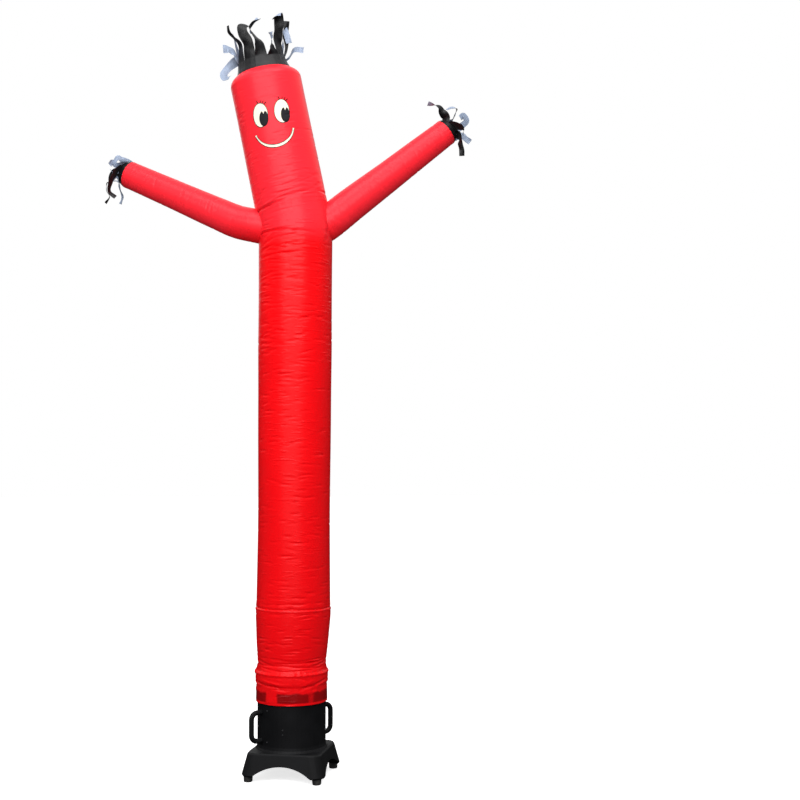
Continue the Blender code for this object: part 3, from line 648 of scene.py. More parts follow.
def black_rubber():
    finish = Finish("black_rubber_foot", Roughness=0.8)
    dust = finish.noise(finish.place(), 60.0, 4.0)
    dusty = finish.mix(dust.above(0.6, 0.2) * 0.6, (0.008, 0.008, 0.008, 1), (0.05, 0.048, 0.045, 1))
    finish.set("Base Color", dusty)
    finish.bump(dust, 0.0004, 0.3)
    return finish.material


def dark_steel():
    finish = Finish("dark_steel", Roughness=0.35, Metallic=0.9)
    wear = finish.noise(finish.place(), 300.0, 3.0)
    finish.set("Base Color", finish.mix(wear, (0.05, 0.05, 0.055, 1), (0.14, 0.14, 0.15, 1)))
    finish.set("Roughness", 0.28 + wear * 0.2)
    return finish.material


# ---------------------------------------------------------------- lines and surfaces


def smooth_curve(table, at):
    """Values of a table (place, value) at the given places, on a smooth curve with no overshoot."""
    places = np.array([row[0] for row in table])
    values = np.array([row[1] for row in table])
    slopes = np.diff(values) / np.diff(places)
    knots = np.zeros(len(places))
    same = slopes[:-1] * slopes[1:] > 0
    sums = np.where(same, slopes[:-1] + slopes[1:], 1)
    knots[1:-1] = np.where(same, 2 * slopes[:-1] * slopes[1:] / sums, 0)
    knots[0], knots[-1] = slopes[0], slopes[-1]
    index = np.clip(np.searchsorted(places, at) - 1, 0, len(places) - 2)
    span = places[index + 1] - places[index]
    t = np.clip((at - places[index]) / span, 0, 1)
    return (
        values[index] * (2 * t**3 - 3 * t**2 + 1)
        + values[index + 1] * (3 * t**2 - 2 * t**3)
        + span * (knots[index] * (t**3 - 2 * t**2 + t) + knots[index + 1] * (t**3 - t**2))
    )


def fold_heights(folds, turn, along, radius):
    """How far the folds stand out at each point; turn in radians."""
    total = np.zeros_like(turn)
    for at_turn, at_along, half_length, slope, half_width, depth in folds:
        arc = radius * ((turn - math.radians(at_turn) + math.pi) % (2 * math.pi) - math.pi)
        rise = along - at_along
        tilt = math.radians(slope)
        run = arc * math.cos(tilt) + rise * math.sin(tilt)
        across = (rise * math.cos(tilt) - arc * math.sin(tilt)) / half_width
        shape = (1 - 0.8 * across**2) * np.exp(-(across**2))
        total += depth * shape * np.exp(-((run / half_length) ** 4))
    return total


def scattered(rows, slope=18.0, depth=0.0026):
    """Fine creases spread over a patch, the same ones each time."""
    folds = []
    for seed, count, turn_from, turn_to, along_from, along_to in rows:
        pick = np.random.default_rng(seed)
        for _ in range(count):
            folds.append(
                (
                    pick.uniform(turn_from, turn_to),
                    pick.uniform(along_from, along_to),
                    pick.uniform(0.010, 0.034),
                    pick.normal(2.0, slope / 2),
                    pick.uniform(0.0036, 0.0056),
                    -depth * pick.uniform(0.35, 1.0),
                )
            )
    return tuple(folds)


def puckers(turn, distance, reach, count, depth, seed):
    """Small gathers that fade away from a seam, uneven round it."""
    pick = np.random.default_rng(seed)
    phase, wander = pick.uniform(0, ROUGH_TURN, 3), pick.uniform(0.6, 1.0, 3)
    ripple = np.sin(count * turn + phase[0] + 1.8 * np.sin(3 * turn + phase[1]))
    ripple += 0.6 * np.sin(1.63 * count * turn + phase[2] + 2.1 * np.sin(5 * turn + phase[0]))
    strength = 0.7 + 0.3 * np.sin(4 * turn + phase[1]) * wander[0]
    return depth * ripple * strength * np.exp(-((distance / reach) ** 2))


class RedTube:
    """The surface of the red tube: a place for each turn from the front and place along its line."""

    def __init__(self, sizes):
        self.sizes = sizes
        steps = np.linspace(sizes.hem, sizes.crown, 1200)
        step = steps[1] - steps[0]
        ease = np.clip((steps - sizes.bend + BEND_HALF) / (2 * BEND_HALF), 0, 1)
        ease = ease * ease * (3 - 2 * ease)
        slope = np.gradient(smooth_curve(DRIFT, steps), step)
        tilt = sizes.head_tilt * ease - np.arctan(slope) * (1 - ease)
        self.steps, self.tilt = steps, tilt
        self.x = STAND.x - np.concatenate([[0], np.cumsum(np.sin(tilt[:-1]) * step)])
        self.z = sizes.hem + np.concatenate([[0], np.cumsum(np.cos(tilt[:-1]) * step)])

    def centre(self, along):
        x = np.interp(along, self.steps, self.x)
        return np.stack([x, np.full_like(x, STAND.y), np.interp(along, self.steps, self.z)], -1)

    def axis(self, along):
        tilt = np.interp(along, self.steps, self.tilt)
        return np.stack([-np.sin(tilt), np.zeros_like(tilt), np.cos(tilt)], -1)

    def folds(self, turn, along):
        """Standing out of all folds, creases and gathers."""
        sizes = self.sizes
        total = fold_heights(self.near(along), turn, along, FOLD_RADIUS)
        for seam, shift, reach, count, depth, seed in SEAM_GATHERS:
            total += puckers(turn, along - getattr(sizes, seam) - shift, reach, count, depth, seed)
        for seam, shift, half_width, height in SEAM_RIDGES:
            total += height * np.exp(-(((along - getattr(sizes, seam) - shift) / half_width) ** 2))
        total += OVAL_DEPTH * np.sin(2 * turn + 7 * along) * np.clip((along - OVAL_FROM) / OVAL_SOFT, 0, 1)
        return total

    def near(self, along):
        """Only the folds that reach the given stretch."""
        low, high = float(along.min()) - 0.06, float(along.max()) + 0.06
        return [fold for fold in ALL_FOLDS if low - fold[2] < fold[1] < high + fold[2]]

    def place(self, turn, along, lift=0.0):
        radius = smooth_curve(TUBE_SECTIONS, along) + self.folds(turn, along) + lift
        tilt = np.interp(along, self.steps, self.tilt)
        side = np.stack([np.cos(tilt), np.zeros_like(tilt), np.sin(tilt)], -1)
        front = np.array([0.0, -1.0, 0.0])
        out = np.sin(turn)[..., None] * side + np.cos(turn)[..., None] * front
        return self.centre(along) + radius[..., None] * out

    def outside(self, points):
        """How far each point is outside the tube, near the shoulders."""
        along = np.linspace(SHOULDER_LOW, SHOULDER_HIGH, 240)
        line = self.centre(along)
        gaps = np.linalg.norm(points[:, None, :] - line[None, :, :], axis=-1)
        nearest = gaps.argmin(axis=1)
        return gaps.min(axis=1) - smooth_curve(TUBE_SECTIONS, along[nearest])


ALL_FOLDS = (
    CUFF_FOLDS
    + PANEL_FOLDS
    + CHEST_FOLDS
    + NECK_FOLDS
    + scattered(CUFF_SCATTER)
    + scattered(PANEL_SCATTER)
    + scattered(BODY_SCATTER)
    + scattered(HEAD_SCATTER, depth=0.0018)
)


class ArmTube:
    """The surface of an arm: a place for each turn from its top and place along its line."""

    def __init__(self, side):
        rows = np.array(ARM_ROUTES[side])
        rows[:, :3] += np.array(STAND)
        self.side = side
        lengths = np.concatenate([[0], np.cumsum(np.linalg.norm(np.diff(rows[:, :3], axis=0), axis=1))])
        self.length = lengths[-1]
        fine = np.linspace(0, self.length, 160)
        self.fine = fine
        self.line = np.stack([smooth_curve(list(zip(lengths, rows[:, k])), fine) for k in range(3)], -1)
        self.radii = smooth_curve(list(zip(lengths, rows[:, 3])), fine)
        self.axes = np.gradient(self.line, fine, axis=0)
        self.axes /= np.linalg.norm(self.axes, axis=1)[:, None]

    def frame(self, along):
        centre = np.stack([np.interp(along, self.fine, self.line[:, k]) for k in range(3)], -1)
        axis = np.stack([np.interp(along, self.fine, self.axes[:, k]) for k in range(3)], -1)
        axis /= np.linalg.norm(axis, axis=-1)[..., None]
        up = np.array([0.0, 0.0, 1.0]) - axis[..., 2:3] * axis
        up /= np.linalg.norm(up, axis=-1)[..., None]
        return centre, axis, up, np.cross(axis, up)

    def place(self, turn, along, plain=False):
        centre, axis, up, across = self.frame(along)
        radius = np.interp(along, self.fine, self.radii)
        if not plain:
            radius = radius + self.folds(turn, along)
        out = np.cos(turn)[..., None] * up + np.sin(turn)[..., None] * across
        return centre + radius[..., None] * out

    def folds(self, turn, along):
        seed = ARM_SEEDS[self.side]
        patch = (seed, ARM_CREASES, -180, 180, ARM_CREASE_FROM, self.length - ARM_CREASE_SHORT)
        fine = scattered((patch,), 20.0, 0.0020)
        total = fold_heights(ARM_FOLDS[self.side] + fine, turn, along, ARM_FOLD_RADIUS)
        total += puckers(turn, along - self.length, 0.016, 22, 0.0012, seed)
        return total

    def roots(self, turn, tube):
        """Where each line along the arm leaves the red tube."""
        along = np.linspace(0, self.length * 0.55, 120)
        roots = np.zeros_like(turn)
        for i, angle in enumerate(turn):
            gaps = tube.outside(self.place(np.full_like(along, angle), along, True))
            last = np.nonzero(gaps < 0)[0][-1]
            share = gaps[last] / (gaps[last] - gaps[last + 1])
            roots[i] = along[last] + share * (along[last + 1] - along[last])
        return roots


# ---------------------------------------------------------------- pieces


def deselect():
    if bpy.context.object is not None and bpy.context.object.mode != "OBJECT":
        bpy.ops.object.mode_set(mode="OBJECT")
    bpy.ops.object.select_all(action="DESELECT")


def pick(thing):
    deselect()
    thing.select_set(True)
    bpy.context.view_layer.objects.active = thing


def flat_cloth(name, columns, rows, width, length):
    """A flat piece of cloth with its own map in metres; gives the piece and its points' shares."""
    deselect()
    bpy.ops.mesh.primitive_grid_add(x_subdivisions=columns, y_subdivisions=rows, size=1, calc_uvs=True)
    cloth = bpy.context.object
    cloth.name = cloth.data.name = name
    shares = np.zeros(len(cloth.data.vertices) * 3)
    cloth.data.vertices.foreach_get("co", shares)
    shares = shares.reshape(-1, 3)[:, :2] + 0.5
    layer = cloth.data.uv_layers[0].data
    places = np.zeros(len(layer) * 2)
    layer.foreach_get("uv", places)
    places = places.reshape(-1, 2) * (width, length)
    layer.foreach_set("uv", places.ravel())
    return cloth, shares


def shape_cloth(cloth, places):
    cloth.data.vertices.foreach_set("co", np.ascontiguousarray(places, np.float32).ravel())
    cloth.data.update()


def close_seam(cloth, outwards):
    """Merges the cloth's two long edges and turns its faces the right way."""
    pick(cloth)
    bpy.ops.object.mode_set(mode="EDIT")
    bpy.ops.mesh.select_all(action="SELECT")
    bpy.ops.mesh.remove_doubles(threshold=0.00002)
    bpy.ops.mesh.normals_make_consistent(inside=False)
    bpy.ops.object.mode_set(mode="OBJECT")
    face = cloth.data.polygons[0]
    if face.normal.dot(outwards(face.center)) < 0:
        bpy.ops.object.mode_set(mode="EDIT")
        bpy.ops.mesh.flip_normals()
        bpy.ops.object.mode_set(mode="OBJECT")


def thicken(cloth, wall, inner=0, offset=-1.0):
    """Gives the cloth its wall; inner is the step to the material slot of its inner side."""
    pick(cloth)
    solidify = cloth.modifiers.new("wall", "SOLIDIFY")
    solidify.thickness = wall
    solidify.offset = offset
    solidify.use_even_offset = True
    solidify.material_offset = inner
    bpy.ops.object.modifier_apply(modifier=solidify.name)
    bpy.ops.object.shade_smooth_by_angle(angle=math.radians(50))


def settle(piece, slot, *nodes):
    """Hangs the piece on the root body and hides the CAD nodes that it stands in for; its slot is not
    used.
    """
    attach(piece, "root")
    if nodes:
        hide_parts(*nodes)


def settings():
    return bpy.context.scene.air_dancer


def tube_piece(name, node, start, end, rows, stitches, band=None):
    """A panel of the red tube between two seams, cut flat, rolled, sewn and blown up.

    A row of stitches is placed up from the lower seam, or down from the upper one where it is minus."""
    sizes = settings().tube
    tube = RedTube(sizes)
    start, end = getattr(sizes, start), getattr(sizes, end)
    thread = [place if place > 0 else end - start + place for place in stitches]
    red = red_nylon(settings().colours, name.replace("cloth", "nylon"), thread, band)
    around = 2 * math.pi * max(r for s, r in TUBE_SECTIONS if start - 0.02 <= s <= end + 0.02)
    cloth, shares = flat_cloth(name, sizes.columns, rows, around, end - start)
    turn = (shares[:, 0] - 0.5) * 2 * math.pi + math.pi
    along = start + shares[:, 1] * (end - start)
    shape_cloth(cloth, tube.place(turn, along))
    middle = tube.centre(np.array([(start + end) / 2]))[0]
    close_seam(cloth, lambda at: Vector((at.x - middle[0], at.y - middle[1], 0)))
    cloth.data.materials.append(red)
    thicken(cloth, sizes.wall)
    settle(cloth, "red_nylon", node)
    end - start


class AIRDANCER_OT_base_cuff(bpy.types.Operator):
    """Base cuff with its hem, drawn over the blower's rim"""

    bl_idname = "airdancer.base_cuff"
    bl_label = "Base cuff"

    def execute(self, context):
        # rim_shadow paints shade on the cuff where it lies on the blower's rim
        tube_piece("cuff_cloth", "base_cuff", "hem", "cuff_seam", 60, (0.012,), rim_shadow)
        return {"FINISHED"}


class AIRDANCER_OT_lower_panel(bpy.types.Operator):
    """Lower panel, drawn in at the waist over the rim"""

    bl_idname = "airdancer.lower_panel"
    bl_label = "Lower panel"

    def execute(self, context):
        tube_piece("panel_cloth", "lower_panel", "cuff_seam", "panel_seam", 96, (0.007, -0.007))
        return {"FINISHED"}


class AIRDANCER_OT_body_tube(bpy.types.Operator):
    """Body tube from the puckered seam to the neck"""

    bl_idname = "airdancer.body_tube"
    bl_label = "Body tube"

    def execute(self, context):
        tube_piece("body_cloth", "body_tube", "panel_seam", "neck", 420, (0.007, -0.007))
        return {"FINISHED"}


class AIRDANCER_OT_head(bpy.types.Operator):
    """Head panel with its drawn-in top"""

    bl_idname = "airdancer.head"
    bl_label = "Head"

    def execute(self, context):
        tube_piece("head_cloth", "head_panel", "neck", "crown", 180, (0.007, -0.006))
        return {"FINISHED"}


class AIRDANCER_OT_arms(bpy.types.Operator):
    """Two arms, sewn to the shoulders"""

    bl_idname = "airdancer.arms"
    bl_label = "Arms"

    def execute(self, context):
        sizes = settings().tube
        tube = RedTube(sizes)
        for side in ("left", "right"):
            arm = ArmTube(side)
            around = 2 * math.pi * float(arm.radii.max())
            columns, rows = 64, 190
            cloth, shares = flat_cloth(f"arm_cloth_{side}", columns, rows, around, arm.length)
            turn = shares[:, 0] * 2 * math.pi
            rounds = np.linspace(0, 2 * math.pi, columns + 1)
            start = np.interp(turn, rounds, arm.roots(rounds, tube))
            along = start + shares[:, 1] * (arm.length - start)
            places = arm.place(turn, along)
            shape_cloth(cloth, places)
            close_seam(
                cloth,
                lambda at, arm=arm: Vector(
                    np.array(at) - arm.line[np.linalg.norm(arm.line - np.array(at), axis=1).argmin()]
                ),
            )
            rows_of_thread = (0.004, arm.length - 0.006)
            cloth.data.materials.append(
                red_nylon(settings().colours, f"arm_nylon_{side}", rows_of_thread)
            )
            thicken(cloth, sizes.wall)
            settle(cloth, "red_nylon", f"arm_{side}")
        return {"FINISHED"}


# ---------------------------------------------------------------- fringes


def smooth_route(points, count):
    """Evenly spread points along the Catmull-Rom curve through the given ones."""
    points = np.array(points, float)
    ends = np.vstack([2 * points[0] - points[1], points, 2 * points[-1] - points[-2]])
    dense = []
    for a, b, c, d in zip(ends, ends[1:], ends[2:], ends[3:]):
        for t in np.linspace(0, 1, 24, endpoint=False):
            cubic = (2 * a - 5 * b + 4 * c - d) * t**2 + (3 * b - a - 3 * c + d) * t**3
            dense.append(0.5 * (2 * b + (c - a) * t + cubic))
    dense = np.array([*dense, points[-1]])
    run = np.concatenate([[0], np.cumsum(np.linalg.norm(np.diff(dense, axis=0), axis=1))])
    at = np.linspace(0, run[-1], count)
    return np.stack([np.interp(at, run, dense[:, k]) for k in range(3)], -1), run[-1]


def strip_places(edge, axis, strip, rows, seed):
    """Rows of points across a strip, from its root on the band's edge to its tip."""
    width, twist, route = strip
    columns = len(edge) - 1
    line, length = smooth_route([edge[columns // 2], *route], rows + 1)
    along = np.gradient(line, axis=0)
    along[0] += axis * np.linalg.norm(along[0])
    along /= np.linalg.norm(along, axis=1)[:, None]
    across = edge[-1] - edge[0]
    root_width = np.linalg.norm(across)
    across = across / root_width
    shares = np.linspace(-0.5, 0.5, columns + 1)
    pick = np.random.default_rng(seed)
    waves, phase = pick.uniform(2.0, 4.0), pick.uniform(0, ROUGH_TURN)
    cup = pick.uniform(-1, 1, 2)
    places = [edge]
    rest = edge - (edge[columns // 2] + np.outer(shares, across) * root_width)
    for i in range(1, rows + 1):
        share = i / rows
        across = across - across.dot(along[i]) * along[i]
        across /= np.linalg.norm(across)
        turn = math.radians(twist) * share
        normal = np.cross(along[i], across)
        turned = across * math.cos(turn) + normal * math.sin(turn)
        face = np.cross(along[i], turned)
        spread = width + (root_width - width) * max(0.0, 1 - share / 0.65) ** 1.3
        bow = 0.16 * width * (cup[0] + (cup[1] - cup[0]) * share) * min(1.0, share / 0.25)
        ripple = 0.05 * width * math.sin(waves * ROUGH_TURN * share + phase) * min(1.0, share / 0.25)
        row = line[i] + np.outer(shares, turned) * spread
        row += np.outer(4 * shares**2 * bow + 2 * shares * ripple, face)
        row += rest * max(0.0, 1 - share / 0.35) ** 2
        places.append(row)
    return np.array(places), length


def fringe(name, node, foot, axis, towards, band, strips, colours, seed):
    """A gathered band and its strips, sewn into one comb, black outside and pale inside."""
    per_strip, band_rows, strip_rows = 6, 14, 36
    columns = per_strip * len(strips)
    first = towards - towards.dot(axis) * axis
    first /= np.linalg.norm(first)
    second = np.cross(axis, first)
    length = band[-1][0]
    around = 2 * math.pi * band[0][1]
    cloth, shares = flat_cloth(name, columns, band_rows, around * GATHER, length)
    turn = (shares[:, 0] * columns - per_strip // 2) / columns * 2 * math.pi
    along = shares[:, 1] * length
    gathers = int(columns * 0.45)
    radius = smooth_curve(band, along)
    radius = radius + puckers(turn, along - length * 0.7, length * 0.6, gathers, 0.0016, seed)
    radius = radius + 0.0004
    out = np.cos(turn)[:, None] * first + np.sin(turn)[:, None] * second
    places = foot + along[:, None] * axis + radius[:, None] * out
    shape_cloth(cloth, places)
    top = places[shares[:, 1] > 1 - 1e-4]
    order = np.argsort(shares[shares[:, 1] > 1 - 1e-4, 0])
    top = top[order]
    pieces, area = [cloth], around * length * BAND_ALLOWANCE
    for number, (width, twist, route) in enumerate(strips):
        edge = top[number * per_strip : (number + 1) * per_strip + 1]
        placed = (width, twist, [foot + np.array(point) for point in route])
        rows, run = strip_places(edge, axis, placed, strip_rows, seed + number)
        strip, parts = flat_cloth(f"{name}_{number}", per_strip, strip_rows, width, run)
        column = np.rint(parts[:, 0] * per_strip).astype(int)
        row = np.rint(parts[:, 1] * strip_rows).astype(int)
        shape_cloth(strip, rows[row, column])
        pieces.append(strip)
        area += run * (width * TIP_SHARE + around / len(strips) * ROOT_SHARE)
    pick(cloth)
    for piece in pieces:
        piece.select_set(True)
    bpy.ops.object.join()
    close_seam(cloth, lambda at: Vector(np.array(at) - foot))
    cloth.data.materials.append(fringe_nylon(colours, f"{name}_black", colours.black, 0.34))
    cloth.data.materials.append(fringe_nylon(colours, f"{name}_pale", colours.pale, 0.42))
    thicken(cloth, FRINGE_WALL, inner=1)
    settle(cloth, "black_nylon", node)
    return cloth


class AIRDANCER_OT_fringes(bpy.types.Operator):
    """Hair and hand fringes: gathered bands with their strips"""

    bl_idname = "airdancer.fringes"
    bl_label = "Fringes"

    def execute(self, context):
        sizes, colours = settings().tube, settings().colours
        tube = RedTube(sizes)
        front = np.array([0.0, -1.0, 0.0])
        crown = np.array([sizes.crown])
        foot, axis = tube.centre(crown)[0], tube.axis(crown)[0]
        fringe("hair_cloth", "hair_fringe", foot, axis, front, HAIR_BAND, HAIR_STRIPS, colours, 50)
        for side, seed in (("left", 70), ("right", 80)):
            arm = ArmTube(side)
            node, name = f"hand_fringe_{side}", f"hand_cloth_{side}"
            foot, axis = arm.line[-1], arm.axes[-1]
            fringe(name, node, foot, axis, front, HAND_BANDS[side], HAND_STRIPS[side], colours, seed)
        return {"FINISHED"}


# ---------------------------------------------------------------- face


def on_head(tube, arc, along, lift):
    turn = FACE_TURN + np.asarray(arc, float) / HEAD_RADIUS
    return tube.place(turn, np.asarray(along, float), lift)


def upright(arc, along, across, up):
    """Arcs and places of points of an eye, turned about its middle."""
    cosine, sine = math.cos(EYE_TURN), math.sin(EYE_TURN)
    return arc + across * cosine + up * sine, along - across * sine + up * cosine


def oval_patch(name, node, tube, arc, along, half_arc, half_up, lift, material, slot, notch=None):
    """An oval of cloth that follows the head; a notch takes a wedge out of its upper left."""
    cloth, shares = flat_cloth(name, 28, 28, 2 * half_arc, 2 * half_up)
    square = 2 * shares - 1
    ring = np.abs(square).max(axis=1)
    angle = np.arctan2(square[:, 1], square[:, 0])
    reach = ring.copy()
    if notch is not None:
        at, half, depth = notch
        bite = np.clip(1 - np.abs(angle - at) / half, 0, 1)
        reach = ring * (1 - depth * bite)
    across, up = half_arc * reach * np.cos(angle), half_up * reach * np.sin(angle)
    shape_cloth(cloth, on_head(tube, *upright(arc, along, across, up), lift))
    close_seam(cloth, lambda at: Vector((0, -1, 0)))
    cloth.data.materials.append(material)
    thicken(cloth, PATCH_WALL)
    settle(cloth, slot, node)
    return cloth


def cord_line(name, tube, points, radius, material, cyclic=False):
    """A raised line of close stitches along points (arc, along) on the head."""
    arcs, alongs = np.array(points).T
    line = on_head(tube, arcs, alongs, THREAD_LIFT)
    curve = bpy.data.curves.new(name, "CURVE")
    curve.dimensions = "3D"
    curve.bevel_depth = radius
    curve.bevel_resolution = 2
    curve.use_fill_caps = not cyclic
    spline = curve.splines.new("POLY")
    spline.points.add(len(line) - 1)
    spline.points.foreach_set("co", np.hstack([line, np.ones((len(line), 1))]).ravel())
    spline.use_cyclic_u = cyclic
    made = bpy.data.objects.new(name, curve)
    bpy.context.collection.objects.link(made)
    pick(made)
    bpy.ops.object.convert(target="MESH")
    made = bpy.context.object
    made.data.materials.append(material)
    bpy.ops.object.shade_smooth()
    settle(made, "pupil_black")
    return made


def mouth_line(across):
    """The height of the mouth's middle and half its thickness, at shares from -1 to 1."""
    bow = (1 - np.sqrt(1 - (MOUTH_ROUND * across) ** 2)) / (1 - math.sqrt(1 - MOUTH_ROUND**2))
    middle = EYE_ALONG - MOUTH_DROP - MOUTH_DEPTH * (1 - bow)
    half = MOUTH_THICK / 2 * (0.55 + 0.45 * np.cos(across * math.pi / 2))
    tick = np.clip((np.abs(across) - 0.975) / 0.025, 0, 1)
    return middle, half * (1 + tick * 0.5)


def mouth_places(share, side):
    """Arcs and places of points along the mouth (share 0 to 1) and across it (side -1 to 1)."""
    across = np.sin(math.pi * (share - 0.5))
    middle, half = mouth_line(across)
    step = 1e-4
    rise = (mouth_line(np.clip(across + step, -1, 1))[0] - mouth_line(across - step)[0]) / (2 * step)
    inner = np.abs(across) < 1 - step
    lean = np.where(inner, np.arctan2(rise, MOUTH_HALF_ARC), np.sign(across) * MOUTH_END_LEAN)
    arc = MOUTH_ARC + MOUTH_HALF_ARC * across - np.sin(lean) * half * side
    return arc, middle + np.cos(lean) * half * side


class AIRDANCER_OT_face(bpy.types.Operator):
    """Sewn eyes, pupils, mouth, lashes and their outlines"""

    bl_idname = "airdancer.face"
    bl_label = "Face"

    def execute(self, context):
        tube = RedTube(settings().tube)
        cream = face_cloth("cream_patch", settings().colours.cream)
        black = face_cloth("black_patch", (0.004, 0.004, 0.006), 0.6)
        thread = face_cloth("outline_thread", (0.012, 0.001, 0.002), 0.7)
        round_it = np.linspace(0, 2 * math.pi, 72, endpoint=False)
        for side, sign in (("left", -1), ("right", 1)):
            arc = sign * EYE_ARC
            oval_patch(
                f"eye_cloth_{side}", f"eye_{side}", tube, arc, EYE_ALONG, EYE_HALF_ARC, EYE_HALF_UP,
                PATCH_LIFT, cream, "white_nylon",
            )
            oval_patch(
                f"pupil_cloth_{side}", f"pupil_{side}", tube, arc + PUPIL_ARC, EYE_ALONG + PUPIL_UP,
                PUPIL_HALF_ARC, PUPIL_HALF_UP, PUPIL_LIFT, black, "pupil_black", PUPIL_NOTCH,
            )
            across, up = EYE_HALF_ARC * np.cos(round_it), EYE_HALF_UP * np.sin(round_it)
            rim = np.stack(upright(arc, EYE_ALONG, across, up), -1)
            cord_line(f"eye_outline_{side}", tube, rim, RIM_THREAD, thread, True)
            for number, (at, up, lean, length) in enumerate(LASHES):
                t = np.linspace(0, 1, 8)
                lash = np.stack(upright(arc, EYE_ALONG, at + lean * t**2, up + length * t), -1)
                cord_line(f"lash_{side}_{number + 1}", tube, lash, LASH_THREAD, thread)
        cloth, shares = flat_cloth("mouth_cloth", 60, 6, MOUTH_CLOTH[0], MOUTH_THICK)
        places = mouth_places(shares[:, 0], 2 * shares[:, 1] - 1)
        shape_cloth(cloth, on_head(tube, *places, PATCH_LIFT))
        close_seam(cloth, lambda at: Vector((0, -1, 0)))
        cloth.data.materials.append(cream)
        thicken(cloth, PATCH_WALL)
        settle(cloth, "white_nylon", "mouth")
        for name, sign in (("mouth_upper", 1), ("mouth_lower", -1)):
            line = np.stack(mouth_places(np.linspace(0, 1, 60), np.full(60, sign * 1.0)), -1)
            cord_line(name, tube, line, MOUTH_THREAD, thread)
        return {"FINISHED"}


# ---------------------------------------------------------------- blower finish


class AIRDANCER_OT_blower(bpy.types.Operator):
    """Finishes of the blower's plastic, rubber and screws"""

    bl_idname = "airdancer.blower"
    bl_label = "Blower finish"

    def execute(self, context):
        plastic = moulded_plastic(settings().colours)
        rubber, steel = black_rubber(), dark_steel()
        for name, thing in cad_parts.items():
            for words, material in (
                (("blower", "rim", "handle"), plastic),
                (("foot",), rubber),
                (("screw", "outlet"), steel),
            ):
                if name.startswith(words):
                    for number in range(len(thing.material_slots)):
                        thing.material_slots[number].material = material
        return {"FINISHED"}


# ---------------------------------------------------------------- stage

# Lights: name, place, width, height, share of the key power, and the point that they face
LIGHTS = (
    ("key", (-1.0, -4.5, 4.15), 6.4, 2.2, 1.12, (-1.0, 0, 3.6)),
    ("top", (0.0, -1.6, 5.4), 4.0, 2.0, 0.5, (0, 0, 2.4)),
    ("front", (-0.8, -4.5, 1.75), 4.6, 2.6, 0.20, (-0.8, 0, 1.75)),
    ("back", (-1.5, 4.6, 3.4), 2.4, 2.4, 0.10, (0, 0, 1.6)),
)
# Strength of the world by a ray's height: lowest and highest height, and the strength at each
SOFT_SKY = (-0.6, 0.8, 0.28, 0.56)
SHEEN_SKY = (0.14, 0.32, 0.01, 0.9)
CAMERA_SIDE = 0.009  # right of the blower's axis
CAMERA_PITCH, CAMERA_YAW = math.radians(1.88), math.radians(-4.52)


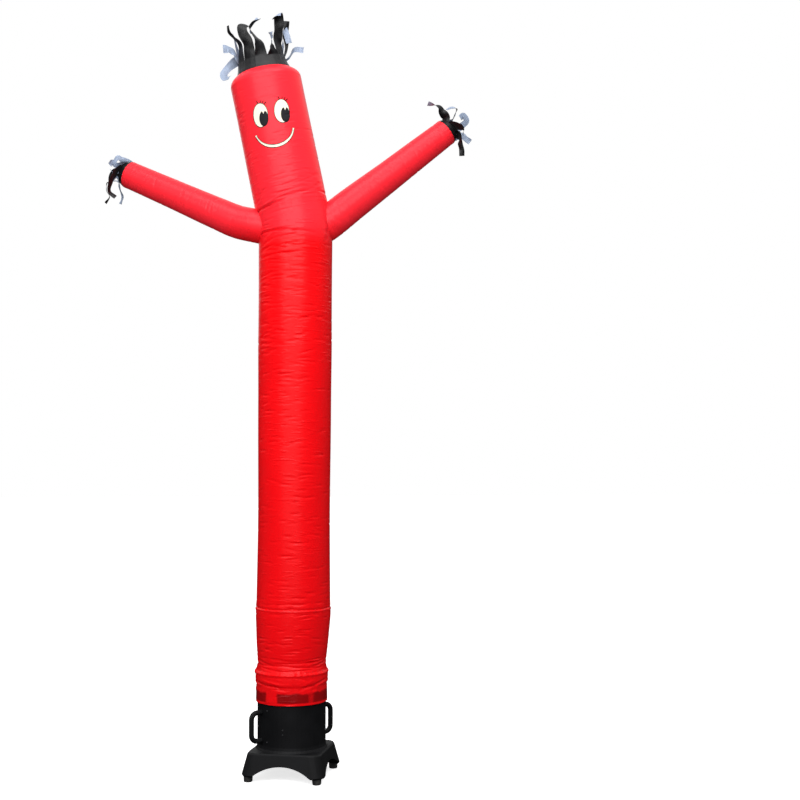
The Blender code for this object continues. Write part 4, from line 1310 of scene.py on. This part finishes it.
class AIRDANCER_OT_stage(bpy.types.Operator):
    """Pale floor, soft studio light and camera"""

    bl_idname = "airdancer.stage"
    bl_label = "Stage"

    def execute(self, context):
        stage = settings().stage
        deselect()
        bpy.ops.mesh.primitive_plane_add(size=60, location=(0, 0, 0))
        floor = context.object
        floor.name = "floor"
        finish = Finish("pale_floor", Roughness=0.9, Emission_Strength=0.72)
        finish.shader.inputs["Base Color"].default_value = (0.9, 0.9, 0.9, 1)
        finish.shader.inputs["Emission Color"].default_value = (1, 1, 1, 1)
        finish.shader.inputs["Specular IOR Level"].default_value = 0.0
        floor.data.materials.append(finish.material)
        floor.visible_diffuse = floor.visible_glossy = False
        for name, place, width, height, share, target in LIGHTS:
            lamp = bpy.data.lights.new(name, "AREA")
            lamp.shape = "RECTANGLE"
            lamp.energy, lamp.size, lamp.size_y = stage.key_power * share, width, height
            thing = bpy.data.objects.new(name, lamp)
            thing.location = place
            thing.rotation_euler = (Vector(target) - Vector(place)).to_track_quat("-Z", "Y").to_euler()
            context.collection.objects.link(thing)
        self.light_world(context)
        self.aim_camera(context, stage)
        context.scene.view_settings.view_transform = "Standard"
        return {"FINISHED"}

    def light_world(self, context):
        """White behind the dancer, a weaker light on it, and a bright sky in its sheen only."""
        world = bpy.data.worlds.new("studio")
        context.scene.world = world
        world.use_nodes = True
        tree = world.node_tree
        tree.nodes.clear()
        output = tree.nodes.new("ShaderNodeOutputWorld")
        mix = tree.nodes.new("ShaderNodeMixShader")
        path = tree.nodes.new("ShaderNodeLightPath")
        tree.links.new(path.outputs["Is Camera Ray"], mix.inputs[0])
        place = tree.nodes.new("ShaderNodeTexCoord")
        height = tree.nodes.new("ShaderNodeSeparateXYZ")
        tree.links.new(place.outputs["Generated"], height.inputs[0])
        level = tree.nodes.new("ShaderNodeMix")
        tree.links.new(path.outputs["Is Glossy Ray"], level.inputs[0])
        for slot, sky in ((2, SOFT_SKY), (3, SHEEN_SKY)):
            fade = tree.nodes.new("ShaderNodeMapRange")
            for name, value in zip(("From Min", "From Max", "To Min", "To Max"), sky):
                fade.inputs[name].default_value = value
            tree.links.new(height.outputs["Z"], fade.inputs["Value"])
            tree.links.new(fade.outputs["Result"], level.inputs[slot])
        for slot, strength in ((1, None), (2, 1.0)):
            shine = tree.nodes.new("ShaderNodeBackground")
            shine.inputs["Color"].default_value = (1, 1, 1, 1)
            if strength is None:
                tree.links.new(level.outputs[0], shine.inputs["Strength"])
            else:
                shine.inputs["Strength"].default_value = strength
            tree.links.new(shine.outputs[0], mix.inputs[slot])
        tree.links.new(mix.outputs[0], output.inputs["Surface"])

    def aim_camera(self, context, stage):
        """A little below the dancer's mid-height, with the dancer left of the middle."""
        camera = bpy.data.cameras.new("camera")
        camera.lens = stage.lens
        camera.sensor_width = 36
        thing = bpy.data.objects.new("camera", camera)
        thing.location = (STAND.x + CAMERA_SIDE, STAND.y - stage.distance, stage.height)
        thing.rotation_euler = (math.pi / 2 + CAMERA_PITCH, 0, CAMERA_YAW)
        context.collection.objects.link(thing)
        context.scene.camera = thing


# ---------------------------------------------------------------- add-on


class AirDancerSettings(bpy.types.PropertyGroup):
    """All settings of the dancer."""

    tube: PointerProperty(name="Tube", description="Sizes of the red tube", type=TubeSettings)
    colours: PointerProperty(name="Colours", description="Colours of the cloth", type=ClothColours)
    stage: PointerProperty(name="Stage", description="Camera and light", type=StageSettings)


PIECES = (
    AIRDANCER_OT_base_cuff,
    AIRDANCER_OT_lower_panel,
    AIRDANCER_OT_body_tube,
    AIRDANCER_OT_head,
    AIRDANCER_OT_arms,
    AIRDANCER_OT_fringes,
    AIRDANCER_OT_face,
    AIRDANCER_OT_blower,
    AIRDANCER_OT_stage,
)


class AIRDANCER_PT_sidebar(bpy.types.Panel):
    """Lists the dancer's pieces"""

    bl_idname = "AIRDANCER_PT_sidebar"
    bl_label = "Air Dancer"
    bl_space_type = "VIEW_3D"
    bl_region_type = "UI"
    bl_category = "Air Dancer"

    def draw(self, context):
        for group in (settings().tube, settings().colours, settings().stage):
            box = self.layout.box()
            for name in group.bl_rna.properties.keys():
                if name not in ("rna_type", "name"):
                    box.prop(group, name)
        for piece in PIECES:
            self.layout.operator(piece.bl_idname)


CLASSES = (TubeSettings, ClothColours, StageSettings, AirDancerSettings, *PIECES, AIRDANCER_PT_sidebar)


def register():
    for each in CLASSES:
        bpy.utils.register_class(each)
    bpy.types.Scene.air_dancer = PointerProperty(type=AirDancerSettings)


def unregister():
    del bpy.types.Scene.air_dancer
    for each in reversed(CLASSES):
        bpy.utils.unregister_class(each)


def main():
    register()
    for piece in PIECES:
        group, name = piece.bl_idname.split(".")
        getattr(getattr(bpy.ops, group), name)()


if __name__ == "__main__":
    main()
